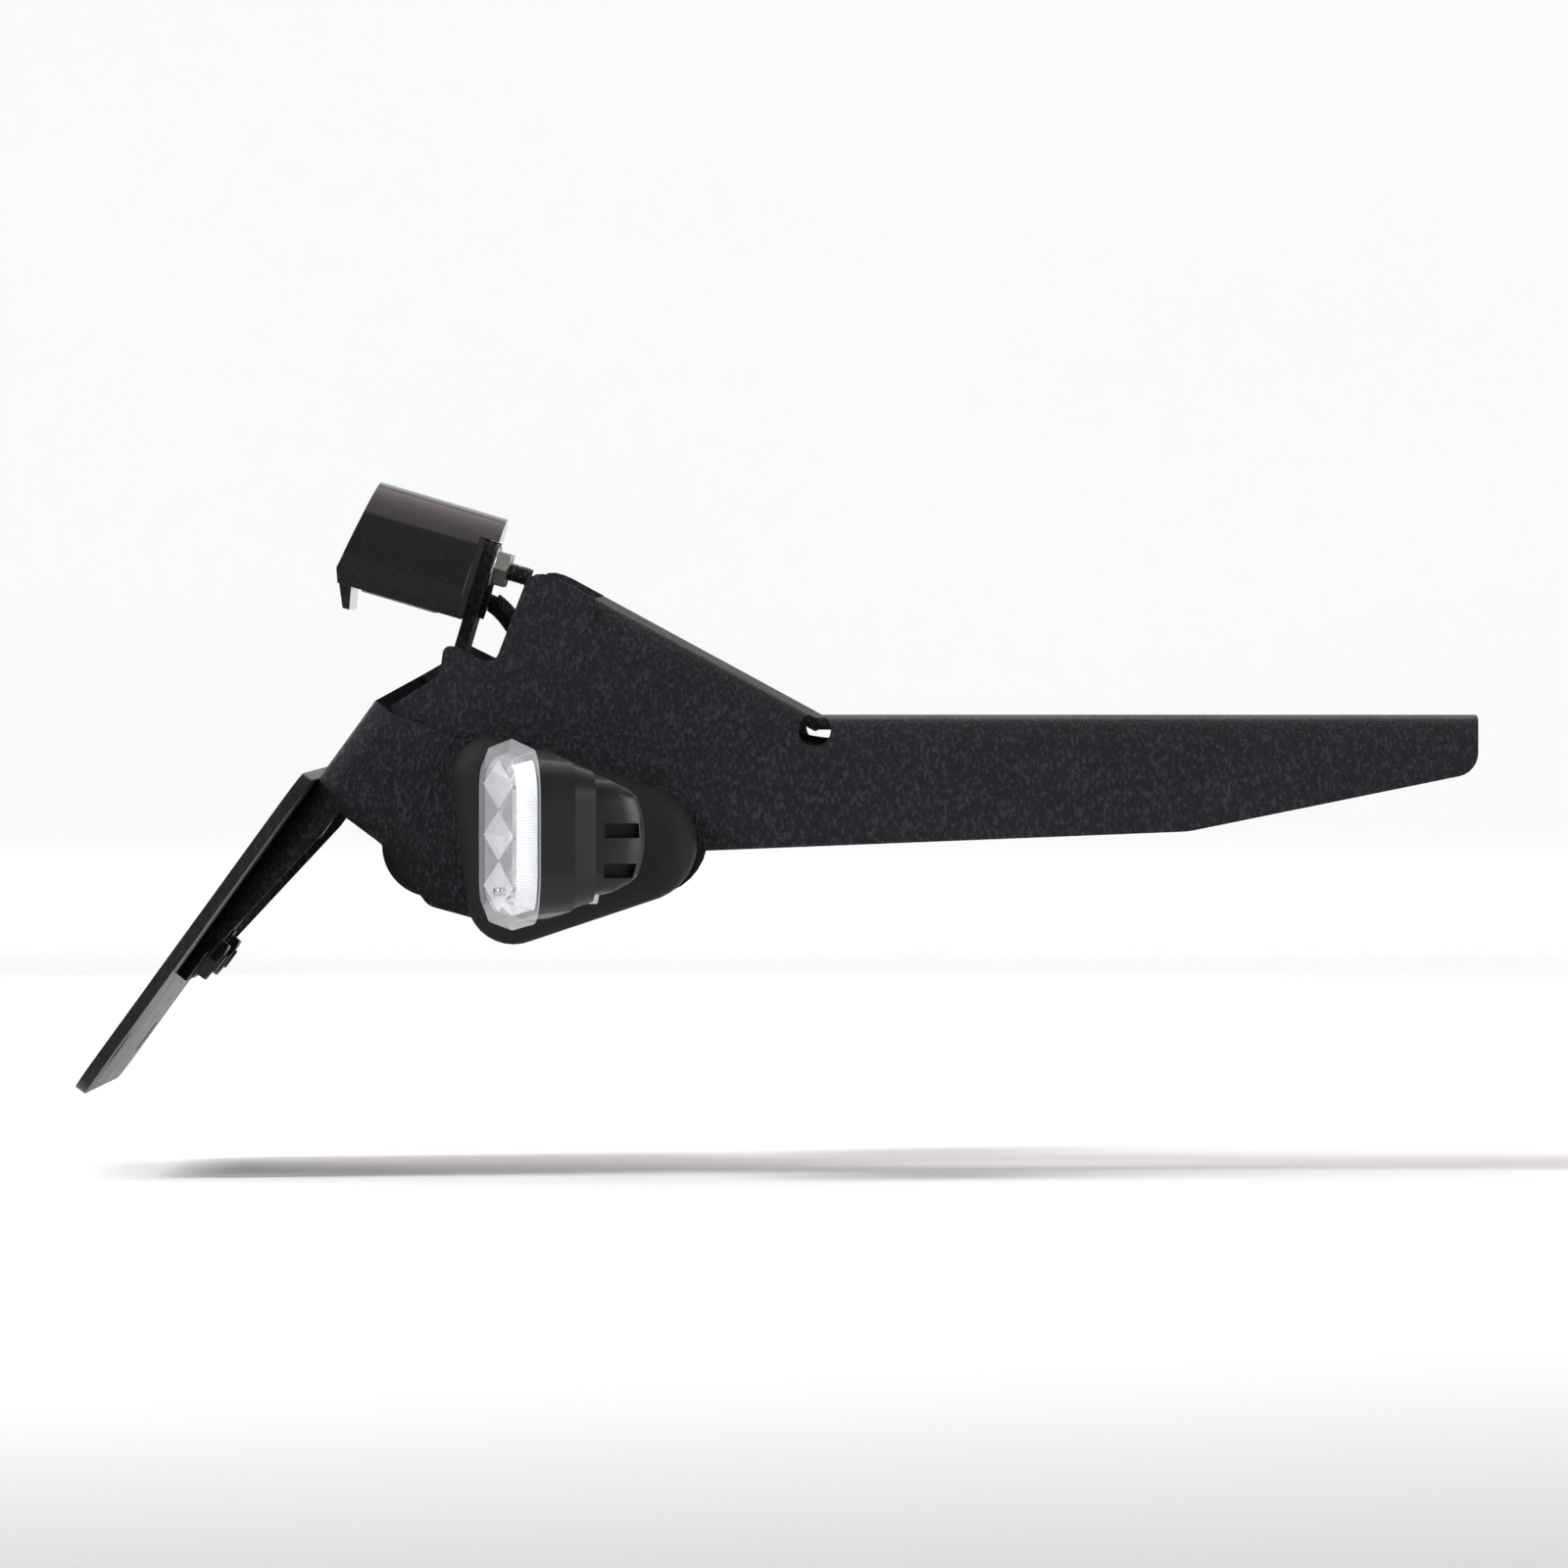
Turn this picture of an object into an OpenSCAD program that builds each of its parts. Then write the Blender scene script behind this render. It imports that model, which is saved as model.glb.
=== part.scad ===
// Tail tidy: a folded channel arm, a folded plate hanger with its plate carrier,
// a plate lamp with its lead, and two indicators on the hanger's cheeks.
// +X points forward along the vehicle, +Y to its left and +Z up. The origin is the
// middle of the four bolt holes, on the upper face of the arm's level deck.

/* [Sheet metal] */
// Thickness of the folded steel sheet
sheet_t = 2; // [1.5:0.1:2.5]
// Outer radius of a long bend
bend_r = 4; // [3:0.5:6]
// Clearance between a fastener and its hole, on the radius
hole_gap = 0.25; // [0.15:0.05:0.4]

/* [Arm] */
// Width across the outsides of the two flanges
arm_w = 64; // [56:1:76]
// Length of the level deck that bolts up under the tail
deck_l = 110; // [95:1:130]
// Angle at which the ramp rises towards the rear
ramp_angle = 28.5; // [20:0.5:34]
// Level run from the deck's knee back to the flange's rear corner
ramp_run = 43.6; // [38:0.5:50]
// Level run from the knee back to the shoulder at the flange's end
shoulder_run = 60.8; // [57:0.5:66]
// Depth of a flange below the deck, at the knee
flange_h = 21.3; // [18:0.5:26]
// Rise of the flange's lower edge towards the front
flange_rise_angle = 2.3; // [0:0.1:4]
// Depth of the low lip at the deck's front end
front_lip_h = 9; // [7:0.5:12]
// Length over which the flange tapers to that lip
front_taper_l = 48; // [35:1:60]
// Bolt spacing along the deck
bolt_dx = 70; // [50:1:80]
// Bolt spacing across the deck
bolt_dy = 40; // [30:1:44]
// Radius of a deck bolt hole
bolt_r = 3.25; // [2.75:0.25:4.25]
// Length of the slot in the deck, for the leads
lead_slot_l = 26; // [16:1:40]
// Width of that slot
lead_slot_w = 10; // [8:1:16]

/* [Hanger] */
// Lean of the web back from upright
web_lean = 36; // [28:0.5:42]
// Length of the web from the neck's fold down to the cheeks' lower corner
web_l = 18.4; // [16:0.2:24]
// Length of the tongue below the cheeks
tongue_l = 37.6; // [34:0.5:48]
// Depth of the tongue's lips at their upper end
lip_h = 6; // [4.5:0.1:8]
// Slope of the neck above level
neck_angle = 30; // [22:1:38]
// Length of the neck
neck_l = 13.7; // [10.5:0.1:16]
// Width of the lamp tab
tab_w = 24; // [20:0.5:30]
// Length of the lamp tab above the neck
tab_l = 20.5; // [17:0.5:24]
// Forward lean of the lamp tab
tab_lean = 16.5; // [8:0.5:22]
// Inner radius of the bend between neck and tab
tab_bend_r = 5; // [3:0.5:6]
// Outer radius of the tube welded across the cheeks
cross_tube_r = 4; // [3.5:0.25:5]
// Outer radius of the grooved sleeve on that tube
sleeve_r = 8.5; // [7:0.25:9]

/* [Plate carrier] */
// Width of the carrier
carrier_w = 120; // [100:1:150]
// Height of the carrier along its slope
carrier_h = 64; // [56:0.5:80]
// Distance from the neck's fold to the carrier's upper edge
carrier_drop = 16; // [12:0.5:18]
// Radius of the carrier's corners
carrier_corner_r = 7; // [4:0.5:10]
// Distance between the plate holes, across the carrier
plate_hole_dx = 90; // [76:1:94]
// Radius of a plate hole
plate_hole_r = 3.25; // [2.5:0.25:3.5]
// Radius of a carrier screw
carrier_screw_r = 2; // [1.5:0.25:2.5]
// Spacing of the carrier screws across the tongue
carrier_screw_dx = 40; // [30:1:46]

/* [Plate lamp] */
// Radius of the lamp's half-round body
lamp_r = 18; // [16:0.5:20]
// Length of the lamp from its gasket to its upper rear edge
lamp_l = 19; // [17:0.5:24]
// Height of the lamp's crown above the end of the tab
lamp_rise = 4.3; // [3.5:0.1:6]
// How much further back the hook reaches than the upper edge
hook_run = 2.4; // [1.5:0.1:3.5]
// Drop of the hook lip below the lamp's flat underside
hook_drop = 3.8; // [2.5:0.1:5]
// Wall of the lamp housing
lamp_wall = 2; // [1.6:0.1:2.4]
// Thickness of the lamp's gasket
lamp_gasket_t = 1; // [0.8:0.1:1.5]
// Radius of a lamp screw
lamp_screw_r = 1.5; // [1.25:0.05:1.6]
// Spacing of the two lamp screws
lamp_screw_dy = 12; // [11:0.5:13]
// Radius of the lamp lead
lead_r = 1.2; // [1:0.1:1.4]
// Radius of the sleeve over the lamp lead
lead_sleeve_r = 1.75; // [1.6:0.05:1.9]

/* [Indicator] */
// Thickness of the rubber gasket behind an indicator base
base_gasket_t = 1; // [0.8:0.1:1.6]
// Height of an indicator base
base_h = 9; // [8:0.5:12]
// Rounding round the edge of an indicator base
base_round = 5; // [4:0.25:6]
// Radius of an indicator's stem
stem_r = 9; // [8:0.25:10.5]
// Length of the stem between base and head
stem_l = 7; // [5:0.5:12]
// Height of an indicator head
head_h = 32; // [29:0.5:36]
// How much lower an indicator head is at its outboard end
head_taper = 3; // [0:0.5:6]
// Width of an indicator head, across the vehicle
head_w = 43; // [40:0.5:52]
// Depth of the lens
lens_d = 10.8; // [10:0.2:14]
// Depth of the housing's plain band
band_d = 6; // [5:0.2:8]
// Depth of the tapered step behind the band
step_d = 3.6; // [3:0.2:5]
// Depth of the domed bulb holder
cap_d = 8.6; // [7:0.2:11]
// How far the head sits to the rear of its lead hole
head_back = 2; // [0:0.5:4]
// How far the head sits below its lead hole
head_low = 1; // [0:0.5:5]
// Outward turn of an indicator head
head_turn = 10; // [6:1:16]
// Wall of the moulded head
head_wall = 1.8; // [1.5:0.1:2.2]
// Radius of an indicator base screw
base_screw_r = 2.5; // [2:0.25:2.5]

/* [Hidden] */
$fn = 64;

seat_gap = 0.1;          // between a moulding and the piece that it sits in
through = 40;            // a cutter longer than any wall
arc_steps = 6;           // segments in a rounded corner of an outline

// A rounded outline: each corner of pts becomes an arc of the matching radius
function unit(v) = v / norm(v);
function corner_arc(p, a, b, r) =
    let (u = unit(a - p), v = unit(b - p),
         half = acos(max(-1, min(1, u * v))) / 2,
         cut = r / tan(half),
         c = p + unit(u + v) * r / sin(half),
         s = p + u * cut - c, e = p + v * cut - c,
         turn = 180 - 2 * half,
         way = (s[0] * e[1] - s[1] * e[0]) > 0 ? 1 : -1)
    [for (i = [0:arc_steps]) let (k = way * turn * i / arc_steps)
        c + [s[0] * cos(k) - s[1] * sin(k), s[0] * sin(k) + s[1] * cos(k)]];
function rounded(pts, radii) =
    let (n = len(pts))
    [for (i = [0:n - 1])
        each (radii[i] > 0
            ? corner_arc(pts[i], pts[(i + n - 1) % n], pts[(i + 1) % n], radii[i])
            : [pts[i]])];

// Draws a side outline, given in X and Z, from the width y0 to the width y1
module across(y0, y1) {
    translate([0, y1, 0])
        rotate([90, 0, 0])
            linear_extrude(y1 - y0) children();
}

// A pin along Y from y0 to y1, at a point of the side view
module cross_pin(p, y0, y1, r) {
    translate([p[0], y1, p[1]])
        rotate([90, 0, 0])
            cylinder(r = r, h = y1 - y0);
}

// The solid block that a folded channel is cut from: flat top at 0, rounded shoulders
module channel_block(w, depth, r) {
    translate([-w / 2, -depth]) square([w, depth - r]);
    translate([-w / 2 + r, -r]) square([w - 2 * r, r]);
    for (side = [-1, 1])
        translate([side * (w / 2 - r), -r]) circle(r = r);
}

// Section of a channel folded from one sheet
module channel_section(w, depth) {
    difference() {
        channel_block(w, depth, bend_r);
        translate([0, -sheet_t])
            channel_block(w - 2 * sheet_t, depth, bend_r - sheet_t);
    }
}

// Arm
half_w = arm_w / 2;
knee_x = -deck_l / 2;
ear_top = [knee_x - ramp_run, ramp_run * tan(ramp_angle)];
ear_back = 9.6;          // from the ear's top corner back to its foot
ear_h = 15.1;            // height of the ear above its foot
shoulder_rise = 3.7;     // rise from the ear's foot back to the shoulder
ear_foot = ear_top - [ear_back, ear_h];
shoulder = [knee_x - shoulder_run, ear_foot[1] + shoulder_rise];
function flange_z(x) = -flange_h + (x - knee_x) * tan(flange_rise_angle);
taper_x = deck_l / 2 - front_taper_l;
toe_x = shoulder[0] + 9;
toe = [toe_x, flange_z(toe_x)];
heel = [shoulder[0], toe[1] + 16];

// The hanger's fold is the bend line between its neck and web, on the rear face. Places on
// the web are given by the distance s down from the fold and the depth d ahead of that face
fold = [shoulder[0] - 12.1, shoulder[1] - 9.4];
down = [-sin(web_lean), -cos(web_lean)];
ahead = [cos(web_lean), -sin(web_lean)];
function on_web(s, d) = fold + down * s + ahead * d;
flange_end_gap = 0.6;    // clearance between the flange's end and the inside of the web's bend

ramp_start = 7;          // how far forward of the ear's corner the folded ramp starts
ramp_x = ear_top[0] + ramp_start;
fold_relief_r = 2.7;       // round notch through the folded corners at the knee
slit_w = 0.4;              // slit that parts the ramp's folds from the flat ears behind them
underside = rounded(
    [[deck_l / 2, through], [shoulder[0], through], heel, toe,
     [taper_x, flange_z(taper_x)], [deck_l / 2, -front_lip_h]],
    [0, 0, 4, 5, 18, 4]);
ear_outline = rounded(
    [[ramp_x, (knee_x - ramp_x) * tan(ramp_angle)], ear_top, ear_foot, shoulder,
     shoulder - [1.4, 5.2], on_web(-flange_end_gap, sheet_t + 0.5),
     on_web(0.4, bend_r + flange_end_gap), heel, toe,
     [ramp_x, flange_z(ramp_x)]],
    [0, 4, 2.5, 1.6, 0.8, 0.3, 0.4, 4, 5, 0]);

module arm() {
    color("dimgray")
        difference() {
            union() {
                intersection() {
                    translate([knee_x, 0, 0])
                        rotate([90, 0, 90])
                            linear_extrude(deck_l) channel_section(arm_w, 2 * through);
                    across(-arm_w, arm_w) polygon(underside);
                }
                intersection() {
                    translate([knee_x, 0, 0])
                        rotate([0, ramp_angle, 0])
                            translate([-2 * ramp_run, 0, 0])
                                rotate([90, 0, 90])
                                    linear_extrude(3 * ramp_run) channel_section(arm_w, 2 * through);
                    across(-arm_w, arm_w) polygon(underside);
                    translate([ramp_x, -arm_w, -2 * through])
                        cube([knee_x - ramp_x, 2 * arm_w, 4 * through]);
                }
                across(-half_w, sheet_t - half_w) polygon(ear_outline);
                across(half_w - sheet_t, half_w) polygon(ear_outline);
            }
            for (x = [-1, 1], y = [-1, 1])
                translate([x * bolt_dx / 2, y * bolt_dy / 2, -through / 2])
                    cylinder(r = bolt_r, h = through);
            lead_slot();
            fold_reliefs(knee_x)
                circle(r = fold_relief_r);
            fold_reliefs(ramp_x)
                translate([-slit_w / 2, -bend_r]) square([slit_w, through]);
            for (p = base_screw_at)
                cross_pin(p, -half_w - 1, half_w + 1, base_screw_r + hole_gap);
            cross_pin(base_lead_at, -half_w - 1, half_w + 1, base_lead_r);
        }
}

// Cuts an outline through both folded corners of the arm, where the ramp's top passes x
module fold_reliefs(x) {
    corner_y = half_w - bend_r - 1;
    for (y = [-half_w - 1, corner_y])
        across(y, y + bend_r + 2)
            translate([x, (knee_x - x) * tan(ramp_angle) - sheet_t]) children();
}

module lead_slot() {
    for (side = [-1, 1])
        translate([side * (lead_slot_l - lead_slot_w) / 2, 0, -through / 2])
            cylinder(d = lead_slot_w, h = through);
    translate([-(lead_slot_l - lead_slot_w) / 2, -lead_slot_w / 2, -through / 2])
        cube([lead_slot_l - lead_slot_w, lead_slot_w, through]);
}

// Hanger
cheek_y = half_w + sheet_t;
hanger_w = 2 * cheek_y;
tongue_end = web_l + tongue_l;

// Middles and radii of the three rounded corners of an indicator base
base_rear_top = [shoulder[0] + 7.4, shoulder[1] - 21.8];
base_rear_low = [shoulder[0] + 11, shoulder[1] - 42];
base_front = [shoulder[0] + 31.6, shoulder[1] - 33];
base_radii = [6.6, 7.8, 9.8];
base_middles = [base_rear_top, base_rear_low, base_front];

// Places of the base screws and of the hole for the indicator's lead, in the side view
base_screw_at = [[shoulder[0] + 12, shoulder[1] - 24.2], [shoulder[0] + 28.6, shoulder[1] - 28.6]];
base_lead_at = [shoulder[0] + 18, shoulder[1] - 30.2];
base_lead_r = 3.5;

cross_tube_at = [shoulder[0] - 2.7, shoulder[1] - 33.6];
cheek_inset = 2.5;       // how far the cheek's edge stays inside the base that covers it
cheek_outline = rounded(
    [on_web(0, 0), on_web(0, 3.4), [shoulder[0] + 0.9, shoulder[1] - 15.5],
     base_rear_top + [6, base_radii[0] - cheek_inset], base_front + [0, base_radii[2] - cheek_inset],
     base_front + [base_radii[2] - cheek_inset, 0], base_front + [-2, cheek_inset - base_radii[2]],
     base_rear_low + [0, cheek_inset - base_radii[1]], [shoulder[0] - 3.2, shoulder[1] - 43.4],
     [shoulder[0] - 10.8, shoulder[1] - 33.3], on_web(web_l, 0)],
    [0, 1.5, 12, 10, 5, 6, 6, 4, 3, 8, 0]);
tongue_outline = [
    on_web(web_l - 4, 0), on_web(web_l - 4, lip_h), on_web(web_l + 4, lip_h),
    on_web(tongue_end - 6, sheet_t + 0.6), on_web(tongue_end - 6, sheet_t),
    on_web(tongue_end, sheet_t), on_web(tongue_end, 0)];

// Neck and tab, in their own frames: the neck starts at the fold, the tab at the neck's end
neck_way = [cos(neck_angle), sin(neck_angle)];
tab_way = [sin(tab_lean), cos(tab_lean)];
tab_foot = fold + neck_way * neck_l;
tab_end = tab_foot + tab_way * tab_l;
tab_front = [cos(tab_lean), -sin(tab_lean)];
neck_front = [sin(neck_angle), -cos(neck_angle)];
strip_turn = 90 - tab_lean - neck_angle;
inner_corner = tab_foot + neck_front * sheet_t + neck_way * sheet_t * tan(strip_turn / 2);
tab_strip = rounded(
    [fold, tab_foot, tab_end, tab_end + tab_front * sheet_t,
     inner_corner, fold + neck_front * sheet_t],
    [0, tab_bend_r, 0, 0, tab_bend_r + sheet_t, 0]);
neck_wide = arm_w - 6;
neck_end_x = fold[0] + neck_way[0] * neck_l * 0.6;
neck_plan = [
    [fold[0] - 1, neck_wide / 2], [fold[0], neck_wide / 2], [neck_end_x, tab_w / 2],
    [tab_end[0] + through, tab_w / 2], [tab_end[0] + through, -tab_w / 2],
    [neck_end_x, -tab_w / 2], [fold[0], -neck_wide / 2], [fold[0] - 1, -neck_wide / 2]];

// Places a child on a leaning sheet: X runs to the right, Y up along the sheet,
// and Z out of the sheet's rear face, with the origin at the point p of the side view
module leaning(p, lean) {
    multmatrix([[0, sin(lean), -cos(lean), p[0]],
                [-1, 0, 0, 0],
                [0, cos(lean), sin(lean), p[1]],
                [0, 0, 0, 1]]) children();
}

// The neck narrows from the web to the tab; both are one folded strip
module neck_and_tab() {
    intersection() {
        across(-cheek_y, cheek_y) polygon(tab_strip);
        translate([0, 0, -through]) linear_extrude(2 * through) polygon(neck_plan);
    }
}

module plate_hanger() {
    color("dimgray")
        difference() {
            union() {
                intersection() {
                    leaning(fold, web_lean)
                        translate([0, through, 0])
                            rotate([90, 0, 0])
                                linear_extrude(4 * through) channel_section(hanger_w, 2 * through);
                    across(-cheek_y, cheek_y)
                        union() {
                            polygon(cheek_outline);
                            polygon(tongue_outline);
                        }
                }
                neck_and_tab();
                cross_pin(cross_tube_at, -half_w - sheet_t / 2, half_w + sheet_t / 2, cross_tube_r);
            }
            for (p = base_screw_at)
                cross_pin(p, -cheek_y - 1, cheek_y + 1, base_screw_r + hole_gap);
            cross_pin(base_lead_at, -cheek_y - 1, cheek_y + 1, base_lead_r);
            leaning(fold, web_lean) {
                for (p = carrier_screw_at)
                    translate([p[0], p[1], -through / 2])
                        cylinder(r = carrier_screw_r + hole_gap, h = through / 2 + 1);
            }
            leaning(tab_end, tab_lean) {
                for (x = [-1, 1])
                    translate([x * lamp_screw_dy / 2, lamp_screw_y, -through / 2])
                        cylinder(r = lamp_screw_r + hole_gap, h = through);
                translate([0, lamp_lead_y, -through / 2])
                    cylinder(r = grommet_neck_r + seat_gap, h = through);
            }
        }
}

module cross_sleeve() {
    end_play = 4;
    sleeve_l = arm_w - 2 * (sheet_t + end_play);
    groove = 1.2;
    pitch = 4;
    color("darkslategray")
        translate([cross_tube_at[0], sleeve_l / 2, cross_tube_at[1]])
            rotate([90, 0, 0])
                difference() {
                    cylinder(r = sleeve_r, h = sleeve_l);
                    translate([0, 0, -1]) cylinder(r = cross_tube_r + seat_gap, h = sleeve_l + 2);
                    for (z = [pitch:pitch:sleeve_l - pitch])
                        translate([0, 0, z - groove / 2])
                            rotate_extrude()
                                translate([sleeve_r - groove, 0]) square([2 * groove, groove]);
                }
}

// Plate carrier: screws pass through the carrier and the tongue, at these places on the web
carrier_screw_at = [
    for (x = [-1, 1], s = [web_l + 5.6, tongue_end - 5]) [x * carrier_screw_dx / 2, -s]
];
carrier_t = sheet_t;
screw_head_r = 2 * carrier_screw_r;
carrier_washer_t = 0.5;
carrier_nut_h = 0.9 * carrier_screw_r;
carrier_nut_r = 2.02 * carrier_screw_r;
plate_rows = [carrier_drop + 9, carrier_drop + carrier_h - 9];

module carrier_plate() {
    top = -carrier_drop;
    bottom = -carrier_drop - carrier_h;
    linear_extrude(carrier_t)
        polygon(rounded([[-carrier_w / 2, bottom], [carrier_w / 2, bottom],
                         [carrier_w / 2, top], [-carrier_w / 2, top]],
                        [for (i = [1:4]) carrier_corner_r]));
}

module plate_carrier() {
    color("gray")
        leaning(fold, web_lean)
            difference() {
                carrier_plate();
                for (p = carrier_screw_at)
                    translate([p[0], p[1], 0]) {
                        translate([0, 0, -1]) cylinder(r = carrier_screw_r + hole_gap, h = 9);
                        cylinder(r1 = carrier_screw_r + seat_gap, r2 = screw_head_r + seat_gap,
                                 h = carrier_t);
                    }
                for (x = [-1, 1], s = plate_rows)
                    translate([x * plate_hole_dx / 2, -s, -1]) cylinder(r = plate_hole_r, h = 9);
            }
}

module carrier_screws() {
    reach = sheet_t + carrier_washer_t + carrier_nut_h + 0.4;
    color("black")
        leaning(fold, web_lean)
            for (p = carrier_screw_at)
                translate([p[0], p[1], 0])
                    difference() {
                        union() {
                            translate([0, 0, -reach]) cylinder(r = carrier_screw_r, h = reach + 1);
                            cylinder(r1 = carrier_screw_r, r2 = screw_head_r, h = carrier_t);
                        }
                        translate([0, 0, carrier_t / 2])
                            cylinder(r = carrier_screw_r * 0.62, h = carrier_t, $fn = 6);
                    }
}

module carrier_washers() {
    color("black")
        leaning(fold, web_lean)
            for (p = carrier_screw_at)
                translate([p[0], p[1], -sheet_t - carrier_washer_t])
                    washer(carrier_screw_r + hole_gap, 2.2 * carrier_screw_r, carrier_washer_t);
}

module carrier_nuts() {
    color("silver")
        leaning(fold, web_lean)
            for (p = carrier_screw_at)
                translate([p[0], p[1], -sheet_t - carrier_washer_t - carrier_nut_h])
                    hex_nut(carrier_screw_r, carrier_nut_r, carrier_nut_h);
}

module washer(inner, outer, t) {
    difference() {
        cylinder(r = outer, h = t);
        translate([0, 0, -1]) cylinder(r = inner, h = t + 2);
    }
}

// A hexagonal nut with its corners turned off on the outer face
module hex_nut(thread_r, corner_r, h) {
    difference() {
        intersection() {
            cylinder(r = corner_r, h = h, $fn = 6);
            cylinder(r1 = corner_r * 0.9, r2 = corner_r * 0.9 + h * 1.6, h = h);
        }
        translate([0, 0, -1]) cylinder(r = thread_r + seat_gap, h = h + 2);
    }
}

// Plate lamp, in the frame of the tab's upper end
lamp_flat_y = lamp_rise - lamp_r;
lamp_screw_y = -4;
lamp_lead_y = -9.5;
lip_floor_y = 0.3;
lamp_inner_r = lamp_r - lamp_wall;
lamp_face = lamp_gasket_t;
lamp_front_wall = 2.5;
lamp_room = lamp_face + lamp_front_wall;
grommet_neck_r = 2.4;
grommet_flange_r = 3.4;
lamp_nut_h = 2.4;
lamp_washer_t = 0.5;

module half_round(r, floor) {
    intersection() {
        translate([0, lamp_flat_y]) circle(r = r);
        translate([-r, floor]) square([2 * r, 2 * r]);
    }
}

// Side outline of the lamp, in Z and Y of the tab's frame, drawn across the width x0 to x1
module lamp_side(x0, x1) {
    translate([x0, 0, 0])
        rotate([90, 0, 90])
            linear_extrude(x1 - x0) children();
}

lamp_back = lamp_face + lamp_l;
hook_top_y = lamp_flat_y + 2.4;

module lamp_body() {
    intersection() {
        translate([0, 0, lamp_face]) linear_extrude(lamp_l + 2 * hook_run) half_round(lamp_r, lamp_flat_y);
        lamp_side(-lamp_r, lamp_r)
            polygon([[lamp_flat_y, lamp_face], [lamp_rise, lamp_face], [lamp_rise, lamp_back],
                     [hook_top_y, lamp_back + hook_run], [lamp_flat_y, lamp_back + hook_run - 0.9]]);
    }
}

module lamp_hook() {
    lamp_side(-lamp_r + 2.5, lamp_r - 2.5)
        polygon([[hook_top_y, lamp_back + hook_run], [hook_top_y - 0.5, lamp_back - 0.4],
                 [lamp_flat_y - hook_drop, lamp_back - 1.6],
                 [lamp_flat_y - hook_drop, lamp_back - 0.4]]);
}

module lamp_room_shape() {
    intersection() {
        translate([0, 0, lamp_room])
            linear_extrude(lamp_l)
                half_round(lamp_inner_r, lamp_flat_y - 1);
        lamp_side(-lamp_r, lamp_r)
            polygon([[lamp_flat_y - 1, lamp_room], [lamp_rise, lamp_room],
                     [lamp_rise, lamp_back - lamp_wall], [hook_top_y, lamp_back + hook_run - lamp_wall - 0.8],
                     [lamp_flat_y - 1, lamp_back + hook_run - lamp_wall - 1.6]]);
    }
}

module lamp_housing() {
    color("black")
        leaning(tab_end, tab_lean)
            difference() {
                union() {
                    lamp_body();
                    lamp_hook();
                    translate([0, 0, -sheet_t - 0.2])
                        linear_extrude(sheet_t + 0.2 + lamp_face) half_round(lamp_r, lip_floor_y);
                }
                lamp_room_shape();
                for (x = [-1, 1])
                    translate([x * lamp_screw_dy / 2, lamp_screw_y, -1])
                        cylinder(r = lamp_screw_r + hole_gap, h = lamp_room + 2);
                translate([0, lamp_lead_y, -1])
                    cylinder(r = lead_r + 0.4, h = lamp_room + 2);
            }
}

module lamp_gasket() {
    color("black")
        leaning(tab_end, tab_lean)
            difference() {
                linear_extrude(lamp_gasket_t)
                    difference() {
                        half_round(lamp_r, lamp_flat_y);
                        translate([-lamp_r, lip_floor_y - seat_gap]) square([2 * lamp_r, lamp_r]);
                    }
                for (x = [-1, 1])
                    translate([x * lamp_screw_dy / 2, lamp_screw_y, -1])
                        cylinder(r = lamp_screw_r + hole_gap, h = 4);
                translate([0, lamp_lead_y, -1]) cylinder(r = grommet_flange_r + seat_gap, h = 4);
            }
}

board_y = -5.8;
board_t = 1.2;
led_size = 2.8;

module lamp_lens() {
    z0 = lamp_room + seat_gap;
    z1 = lamp_back + hook_run - lamp_wall - 1.9;
    half = lamp_inner_r - 0.6;
    color("white", 0.5)
        leaning(tab_end, tab_lean)
            translate([0, lamp_flat_y, 0]) {
                translate([-half, 0.2, z0]) cube([2 * half, 1.6, z1 - z0]);
                for (x = [-half + 2:2.2:half - 2])
                    translate([x, 0.2, z0 + 1]) cylinder(r = 0.6, h = z1 - z0 - 2);
            }
}

module lamp_board() {
    half = sqrt(pow(lamp_inner_r, 2) - pow(board_y + board_t - lamp_flat_y + 0.2, 2));
    color("green")
        leaning(tab_end, tab_lean)
            translate([-half, board_y, lamp_room + 2.2])
                cube([2 * half, board_t, lamp_l - lamp_front_wall - lamp_wall - 3.2]);
}

module lamp_leds() {
    color("lightyellow")
        leaning(tab_end, tab_lean)
            for (x = [-7, 0, 7])
                translate([x - led_size / 2, board_y - 0.8, lamp_room + 6])
                    cube([led_size, 0.8, led_size]);
}

module lamp_screws() {
    reach = sheet_t + lamp_washer_t + lamp_nut_h + 3.6;
    color("black")
        leaning(tab_end, tab_lean)
            for (x = [-1, 1])
                translate([x * lamp_screw_dy / 2, lamp_screw_y, 0]) {
                    translate([0, 0, -reach]) cylinder(r = lamp_screw_r, h = reach + lamp_room + 0.5);
                    translate([0, 0, lamp_room]) cylinder(r = 1.8 * lamp_screw_r, h = 1.7);
                }
}

module lamp_washers() {
    color("silver")
        leaning(tab_end, tab_lean)
            for (x = [-1, 1])
                translate([x * lamp_screw_dy / 2, lamp_screw_y, -sheet_t - lamp_washer_t])
                    washer(lamp_screw_r + hole_gap, 2.3 * lamp_screw_r, lamp_washer_t);
}

module lamp_nuts() {
    color("silver")
        leaning(tab_end, tab_lean)
            for (x = [-1, 1])
                translate([x * lamp_screw_dy / 2, lamp_screw_y,
                           -sheet_t - lamp_washer_t - lamp_nut_h])
                    hex_nut(lamp_screw_r, 2.12 * lamp_screw_r, lamp_nut_h);
}

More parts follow.
